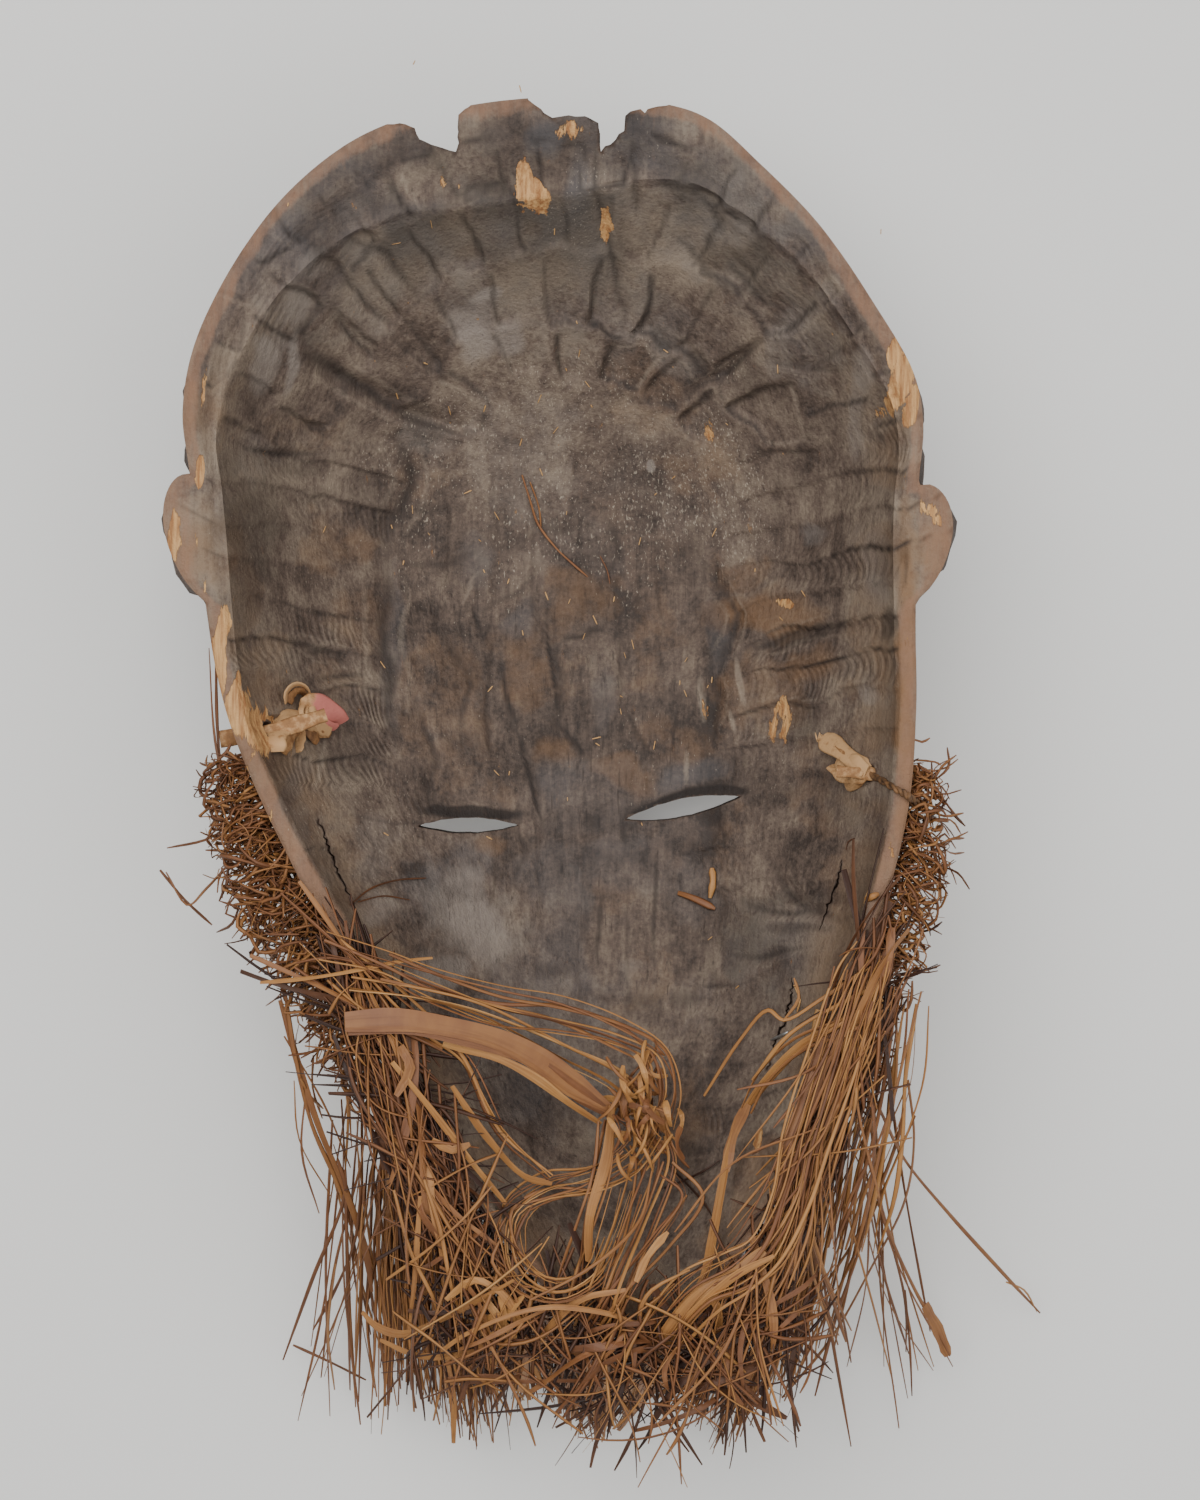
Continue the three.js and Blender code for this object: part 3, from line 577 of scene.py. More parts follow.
def shingles(column, row, seed, weight, depth, stain, join):
    # strokes side by side in rows: each bites in at a step and runs out on the far side. Where join is 1 the
    # strokes of a row run together and only its edge is scalloped
    row = row + 0.2 * join * np.abs(np.sin(math.pi * column))
    j = np.floor(row)
    fr = row - j
    column = column + chance(j, j, seed) * 3
    i = np.floor(column)
    fc = column - i
    side = np.where(chance(i * 0, j, seed + 1) > 0.35, fc, 1 - fc)
    nearby = mix(chance(i, j, seed + 2), chance(i + 1, j, seed + 2), smoothStep(0, 1, fc))
    own = mix(chance(i, j, seed + 2), nearby, join)
    across = mix(1.7 * smoothStep(0, 0.16, side) * np.maximum(0, 1 - side) ** 0.8, 1, join)
    along = smoothStep(0, 0.16, fr) * np.maximum(0, 1 - fr) ** 0.7
    ends = smoothStep(0, 0.14, fr) * smoothStep(1, 0.9, fr)
    edges = mix(smoothStep(0, 0.12, side) * smoothStep(1, 0.92, side), 1, join) * ends
    # grooves at each stroke's side and at its row's step: stain, and painted shade where the step turns from
    # the light
    beside = (1 - join) * bell((side - 0.1) / 0.08) * (0.5 + 0.5 * chance(i, j, seed + 3)) * ends
    above = bell((fr - 0.09) / 0.07) * (0.15 + 0.85 * own) * mix(edges / np.maximum(ends, 0.1), 1, join)
    # painted shade just inside the step where each stroke bites in
    bite = 0.4 * chance(i, j, seed + 7) * np.maximum(0, 1 - side * 1.3) * np.maximum(0, 1 - fr) * edges
    groove = np.maximum(np.maximum(beside, above), bite)
    # lips at the far side and at the row's lower edge: wear, and painted highlight
    lip = np.maximum((1 - join) * bell((side - 0.9) / 0.06) * chance(i, j, seed + 5) ** 2 * ends,
                     bell((fr - 0.91) / 0.05) * mix(chance(i, j, seed + 5) * edges, nearby, join) ** 2)
    skip = np.maximum(0, nearby - 0.12) * np.maximum(0, np.sin(math.pi * fr)) ** 0.5
    fades = mix(edges, ends * np.sin(math.pi * fc) ** 0.5, join)
    # painted shading: each stroke its own brightness, darker at the step where it bites in, lighter where it
    # runs out
    tint = (chance(i, j, seed + 8) - 0.5 + 0.6 * (fr - 0.5)) * fades
    return {"cut": weight * depth * (0.45 + own) * across * along, "groove": weight * stain * groove,
            "lip": weight * stain * lip, "chatter": weight * skip, "tint": weight * stain * tint, "row": fr}


def toolMarks(u, v):
    # what the adze left at picture places: cut in mm, stain and painted shade in the grooves, wear and
    # painted highlight on the lips, painted shading of each stroke in the tint, ridges and their count
    wu = u + 13 * layered(u, v, 80, 2, 3) + 5 * layered(u, v, 26, 2, 5)
    wv = v + 13 * layered(u, v, 80, 2, 9) + 5 * layered(u, v, 26, 2, 7)
    aside = np.abs(wu - strokes["middle"][0])
    radius = np.hypot(wu - strokes["middle"][0], wv - strokes["middle"][1])
    turn = np.arctan2(wu - strokes["middle"][0], strokes["middle"][1] - wv)
    stagger = 0.6 * layered(turn * 1.6, turn * 0, 1.0, 1, 15)
    stagger = stagger + 0.35 * layered(turn * 5, radius / 90, 1.0, 2, 13)
    rings = strokes["rings"]
    ring = np.interp(radius, rings, range(len(rings))) + stagger
    ringMiddle = np.interp(np.floor(ring), range(len(rings)), rings)
    lowHalf = smoothStep(425, 470, v)
    outer = smoothStep(150, 185, aside)
    under = smoothStep(775, 805, v)
    end = 1 - smoothStep(1150, 1250, v)
    sides = smoothStep(185, 240, np.abs(u - strokes["middle"][0]))
    slanted = wv - strokes["lean"] * (345 - aside)
    right = wu > strokes["halves"]
    around = turn * np.round(ringMiddle / strokes["width"] * 2 * math.pi) / (2 * math.pi)
    temple, cheek = ((aside / strokes[name + "Width"] + right * 40,
                      slanted / strokes[name + "Row"] + right * 60.4)
                     for name in ("temple", "cheek"))
    regions = [
        shingles(around, ring, 11, (1 - lowHalf) * smoothStep(70, 130, radius), 1.7, 1.05, 0.05),
        shingles(*temple, 31, lowHalf * outer * (1 - under), 1.15, 1.15, 0.85),
        shingles(wv / strokes["gougeLength"], wu / strokes["gougeWidth"], 51,
                 lowHalf * (1 - outer) * end, 0.5, 0.55, 0.0),
        shingles(*cheek, 71, under * smoothStep(110, 150, aside) * end, 0.7, 0.85, 0.85),
    ]
    regions[0]["chatter"] = regions[0]["chatter"] * mix(0.0, 0.8, sides)
    regions[2]["chatter"] = regions[2]["chatter"] * 0
    regions[2]["lip"] = regions[2]["lip"] * 0
    regions[3]["chatter"] = regions[3]["chatter"] * 0.6
    made = {}
    for key in ("cut", "groove", "lip", "chatter", "tint"):
        made[key] = sum(region[key] for region in regions)
    for line, halfWidth, depth in deepCuts:
        gap, along = nearLine(wu, wv, line)
        fade = np.sin(math.pi * np.clip(0.12 + along * 0.76, 0, 1))
        made["cut"] += depth * bell(gap / halfWidth) * fade
        # along each deep cut: stain and painted shade in it, wear and painted highlight beside it
        groove = min(1, 0.55 + depth * 0.3) * bell(gap / (halfWidth * 0.7)) * fade
        lip = 0.7 * min(1, depth) ** 2 * bell((gap - halfWidth * 1.5) / (halfWidth * 0.4)) * fade
        made["groove"] = np.maximum(made["groove"], groove)
        made["lip"] = np.maximum(made["lip"], lip)
    comb = dome(np.minimum(1, np.abs(u - 376) / 18), 0.5) * dome(np.minimum(1, np.abs(v - 748) / 8), 0.5)
    made["chatter"] = np.clip(np.maximum(made["chatter"] * 1.5, comb * 1.2), 0, 1.2)
    across = 2 * np.where(v < 785, regions[1]["row"], regions[3]["row"]) - 1
    made["chatter"] = made["chatter"] * np.clip(0.8 + 1.1 * layered(u, v, 34, 2, 91), 0.1, 1)
    bowed = aside + np.where(u < strokes["halves"], 7 * across + 3 * across ** 2, 9 * across ** 2)
    made["phase"] = np.where(v < 440, radius, bowed) / strokes["ridge"] + 0.35 * layered(u, v, 60, 1, 93)
    low = mix(smoothStep(430, 560, v) * (1 - outer), smoothStep(760, 860, v) * 0.8, outer)
    made["tint"] = 1.35 * made["tint"] - mix(0.95, 0.1, smoothStep(780, 980, v)) * low
    made["grainLine"] = mix(0.75, 1.0, lowHalf * (1 - outer)) + 0.35 * layered(u, v, 70, 2, 95)
    return made


def inside(share, turn):
    here = bareInside(share, turn)
    step = 0.004
    farther, nearer = np.minimum(share + step, mask["landShare"]), np.maximum(0, share - step)
    out = bareInside(farther, turn) - bareInside(nearer, turn)
    around = bareInside(share, turn + step) - bareInside(share, turn - step)
    normal = np.cross(out, around)
    flat = (share > mask["landShare"] - 1e-6) | (share < 0.01)
    normal[np.broadcast_to(flat, normal.shape[:-1])] = (0, 0, 1)
    normal = normal / np.linalg.norm(normal, axis=-1, keepdims=True)
    u, v = shownAt(here[..., 0], here[..., 1], here[..., 2])
    cut = toolMarks(u, v)["cut"] * smoothStep(rimDrop(turn) * 0.5, rimDrop(turn) + 4, -here[..., 2])
    cut = cut + 0.25 * layered(here[..., 0], here[..., 1], 14, 3, 21, here[..., 2])
    # the rim's land: knife facets and a worn corner
    onLand = np.clip((share - mask["landShare"]) / (1 - mask["landShare"]), 0, 1)
    landHere = smoothStep(mask["landShare"] - 0.01, mask["landShare"], share)
    facets = 0.6 * layered(turn * 7, share * 4, 1.0, 2, 41)
    facets = facets + 0.15 * layered(here[..., 0], here[..., 1], 3, 2, 43)
    facets = facets + 0.5 * toolMarks(u, v)["cut"] * smoothStep(0.2, 1.5, -here[..., 2])
    worn = 0.9 * smoothStep(0.75, 1, onLand) ** 2
    cut = cut * (1 - landHere) + landHere * (facets + 0.3) + worn
    return here - normal * np.maximum(cut, np.where(onLand > 0, 0, -1))[..., None]


def fillRings(lists, flip):
    # faces between one ring of points and the next, also where the next has fewer points
    faces = []
    for ringA, ringB in zip(lists[:-1], lists[1:]):
        a, b = len(ringA), len(ringB)
        i = j = 0
        if a == b:
            for i in range(a):
                quad = (ringA[i], ringB[i], ringB[(i + 1) % b], ringA[(i + 1) % a])
                faces.append(quad if flip else quad[::-1])
            continue
        while i < a or j < b:
            if (i + 1) / a <= (j + 1) / b and i < a:
                face = (ringA[i % a], ringB[j % b], ringA[(i + 1) % a])
                i += 1
            else:
                face = (ringA[i % a], ringB[j % b], ringB[(j + 1) % b])
                j += 1
            faces.append(face if flip else face[::-1])
    return faces


def columnTurns(count):
    # turns round the centre at even lengths along the rim
    turns = np.linspace(0, 2 * math.pi, 1441)
    radii = baseRadius(turns)
    steps = np.hypot(np.diff(radii * np.cos(turns)), np.diff(radii * np.sin(turns)))
    lengths = np.concatenate([[0], np.cumsum(steps)])
    return np.interp(np.arange(count) / count * lengths[-1], lengths, turns)


def shellMesh():
    columns, rings = mask["columns"], mask["rings"]
    points, kinds, rows = [], [], []

    def addRing(surface, share, count, kind):
        turns = columnTurns(count)
        made = surface(np.full(count, float(share)), turns)
        rows.append(list(range(len(points), len(points) + count)))
        points.extend(made)
        kinds.extend([kind] * count)

    land = mask["landShare"]
    insideShares = [(s, columns // 8) for s in np.linspace(0.012, 0.1, 9)[:-1]]
    insideShares += [(s, columns // 4) for s in np.linspace(0.1, 0.26, 18)[:-1]]
    insideShares += [(s, columns // 2) for s in np.linspace(0.26, 0.46, 26)[:-1]]
    insideShares += [(s, columns) for s in np.linspace(0.46, land, rings - 14)]
    insideShares += [(s, columns) for s in np.linspace(land, 1, 14)[1:]]
    outsideShares = [(0.9985, columns), (0.994, columns // 2)]
    outsideShares += [(s, columns // 2) for s in np.linspace(0.985, 0.5, 44)]
    outsideShares += [(s, columns // 4) for s in np.linspace(0.49, 0.12, 34)]
    outsideShares += [(s, columns // 8) for s in np.linspace(0.11, 0.012, 9)]
    for share, count in insideShares:
        addRing(inside, share, count, 1.0)
    for share, count in outsideShares:
        addRing(outside, share, count, 0.0)
    faces = fillRings(rows, True)
    for ring, surface, kind, flip in ((rows[0], inside, 1.0, True), (rows[-1], outside, 0.0, False)):
        middle = len(points)
        points.append(surface(np.array([0.0]), np.array([0.0]))[0])
        kinds.append(kind)
        for i in range(len(ring)):
            face = (middle, ring[i], ring[(i + 1) % len(ring)])
            faces.append(face if flip else face[::-1])
    return points, faces, kinds


def prism(name, plan, low, high):
    # a closed straight-sided cutter over a plan outline
    count = len(plan)
    points = [(x, y, z) for z in (low, high) for x, y in plan]
    faces = [tuple(range(count))[::-1], tuple(range(count, 2 * count))]
    faces += [(i, (i + 1) % count, count + (i + 1) % count, count + i) for i in range(count)]
    return cutter(name, points, faces)


def keepEvaluated(piece):
    # what a piece's modifiers make of it becomes its own plain mesh
    made = bpy.data.meshes.new_from_object(piece.evaluated_get(bpy.context.evaluated_depsgraph_get()))
    piece.modifiers.clear()
    made.name = piece.name
    piece.data = made
    print(piece.name, "triangles", sum(len(p.vertices) - 2 for p in made.polygons))


def cutter(name, points, faces):
    tool = addPiece(name, placed(points), faces)
    cleaned(tool.data, triangles=True)
    return tool


def tube(path, radius, sides):
    path = np.asarray(path, float)
    points, faces = [], []
    for k, middle in enumerate(path):
        forward = path[min(k + 1, len(path) - 1)] - path[max(k - 1, 0)]
        forward = forward / np.linalg.norm(forward)
        side = np.cross(forward, (0, 0, 1))
        side = side / np.linalg.norm(side)
        up = np.cross(side, forward)
        for i in range(sides):
            a = 2 * math.pi * i / sides
            points.append(middle + radius * (math.cos(a) * side + math.sin(a) * up))
    for k in range(len(path) - 1):
        for i in range(sides):
            j = (i + 1) % sides
            faces.append((k * sides + i, k * sides + j, (k + 1) * sides + j, (k + 1) * sides + i))
    faces.append(tuple(range(sides)))
    faces.append(tuple(range((len(path) - 1) * sides, len(path) * sides)))
    return points, faces


def roughLine(points, seed, every=1.4, shake=0.3):
    # a plan outline broken up as torn wood is
    dice = random.Random(seed)
    made = []
    for (ax, ay), (bx, by) in zip(points, points[1:] + points[:1]):
        pieces = max(1, int(math.hypot(bx - ax, by - ay) / every))
        for k in range(pieces):
            t = k / pieces
            x = mix(ax, bx, t) + dice.uniform(-shake, shake)
            made.append((x, mix(ay, by, t) + dice.uniform(-shake, shake)))
    return made


cuts = {
    "notches": [
        [(-58, 182), (-54.6, 161), (-49.3, 161.4), (-45.1, 160.4), (-43.7, 157), (-38.9, 155.1), (-34, 154),
         (-33, 156), (-32.8, 163.8), (-31.4, 165.4), (-29, 167), (-26, 182)],
        [(-16, 182), (-13.6, 168.2), (-11.3, 166.6), (-8.7, 164.6), (-6.7, 163.2), (-2, 163.6), (3.9, 163.2),
         (6.2, 161.8), (7, 154.3), (9.5, 156.2), (13.4, 159.6), (14, 163.3), (15.4, 164.9), (17.9, 165.7),
         (19, 164.6), (19.8, 165.4), (23, 166.2), (27, 167), (30, 182)],
    ],
    "slits": [
        {"place": (-32, -36.2), "width": 29.4, "height": 4.6, "tilt": 0},
        {"place": (31.2, -31.1), "width": 34.4, "height": 5.4, "tilt": 11.5},
    ],
    "notchReach": (-60, 4), "slitReach": (-96, -20),  # lowest and highest z of each cut
    # holes for the cords: places along each, and its radius
    "holes": [
        ([(-71, -4, -15), (-84, -8, -14), (-101, -11, -13)], 2.8),
        ([(74, -20, -17), (86, -21, -16), (101, -22, -15)], 2.4),
    ],
    # cracks in the wall: picture places along each, and its width in mm
    "cracks": [
        ([(842, 860), (838, 880), (828, 905), (820, 930)], 0.4),
        ([(793, 978), (790, 1000), (785, 1020), (774, 1046), (768, 1070)], 0.5),
        ([(318, 820), (330, 850), (341, 878), (355, 905)], 0.4),
    ],
}


def madeTree(mesh):
    # a search tree of a carved mesh, in the carver's millimetres
    mesh.calc_loop_triangles()
    corners = np.zeros(len(mesh.loop_triangles) * 3, dtype=np.int64)
    mesh.loop_triangles.foreach_get("vertices", corners)
    return BVHTree.FromPolygons(carverPlaces(mesh).tolist(), corners.reshape(-1, 3).tolist())


def onWood(tree, across, down, lift=0.0):
    # the place on the wood that shows at a picture place, lifted towards the eye
    eye = Vector((*camera["aim"], camera["height"]))
    ahead = (Vector(seen(across, down)) - eye).normalized()
    hit = tree.ray_cast(eye, ahead)[0]
    if hit is None:
        hit = Vector(seen(across, down))
    return np.array(hit - ahead * lift)


def crackCutter(name, tree, places, wide, dice):
    # a jagged blade that follows a crack and reaches 3 mm into the wall
    line = roundedLine(places, False, 9)
    count = len(line)
    points, faces = [], []
    for k, (across, down) in enumerate(line):
        ahead = line[min(k + 1, count - 1)] - line[max(k - 1, 0)]
        aside = np.array([-ahead[1], ahead[0]]) / np.linalg.norm(ahead)
        middle = np.array([across, down]) + aside * dice.uniform(-1.6, 1.6)
        half = wide / pixel / 2 * (0.25 + math.sin(math.pi * k / (count - 1))) * dice.uniform(0.6, 1.3)
        for sign in (-1, 1):
            for lift in (2.5, -3.0):
                away = sign * half * pixel
                points.append(onWood(tree, *middle, lift) + (aside[0] * away, -aside[1] * away, 0))
    for k in range(count - 1):
        a, b = k * 4, k * 4 + 4
        for i, j in ((0, 1), (1, 3), (3, 2), (2, 0)):
            faces.append((a + i, a + j, b + j, b + i))
    faces.append((0, 1, 3, 2))
    end = (count - 1) * 4
    faces.append((end, end + 1, end + 3, end + 2))
    return cutter(name, points, faces)


def slitPlan(slit, dice, corners=44):
    # a slit's outline: two arcs that meet in points, a little uneven
    c, s = math.cos(math.radians(slit["tilt"])), math.sin(math.radians(slit["tilt"]))
    plan = []
    for i in range(corners):
        a = 2 * math.pi * i / corners
        x = math.cos(a) * slit["width"] / 2
        lens = (1 - (2 * x / slit["width"]) ** 2)
        y = math.copysign(lens * slit["height"] / 2, math.sin(a)) + dice.uniform(-0.12, 0.12)
        plan.append((slit["place"][0] + x * c - y * s, slit["place"][1] + x * s + y * c))
    return plan


def makeMask(wood):
    points, faces, kinds = shellMesh()
    piece = addPiece("maskBody", placed(points), faces, values={"hollow": kinds}, material=wood)
    litres = cleaned(piece.data, outwards=False, triangles=True)
    print("shell triangles", len(piece.data.polygons), "litres", round(litres, 3))

    bare = madeTree(piece.data)
    tools = []
    for k, (places, wide) in enumerate(cuts["cracks"]):
        tools.append(crackCutter(f"crack{k}", bare, places, wide, random.Random(seeds["cracks"] + k)))
    for k, plan in enumerate(cuts["notches"]):
        tools.append(prism(f"notch{k}", roughLine(plan, seeds["notches"] + k), *cuts["notchReach"]))
    for k, slit in enumerate(cuts["slits"]):
        tools.append(prism(f"slit{k}", slitPlan(slit, random.Random(seeds["slits"] + k)), *cuts["slitReach"]))
    for k, (path, radius) in enumerate(cuts["holes"]):
        tools.append(cutter(f"hole{k}", *tube(path, radius, sides=14)))
    for tool in tools:
        cut = piece.modifiers.new(tool.name, "BOOLEAN")
        cut.operation = "DIFFERENCE"
        cut.solver = "MANIFOLD"
        cut.object = tool
    keepEvaluated(piece)
    for tool in tools:
        bpy.data.objects.remove(tool)
    piece.data.shade_smooth()
    piece.data.set_sharp_from_angle(angle=math.radians(mask["sharpFrom"]))
    return piece


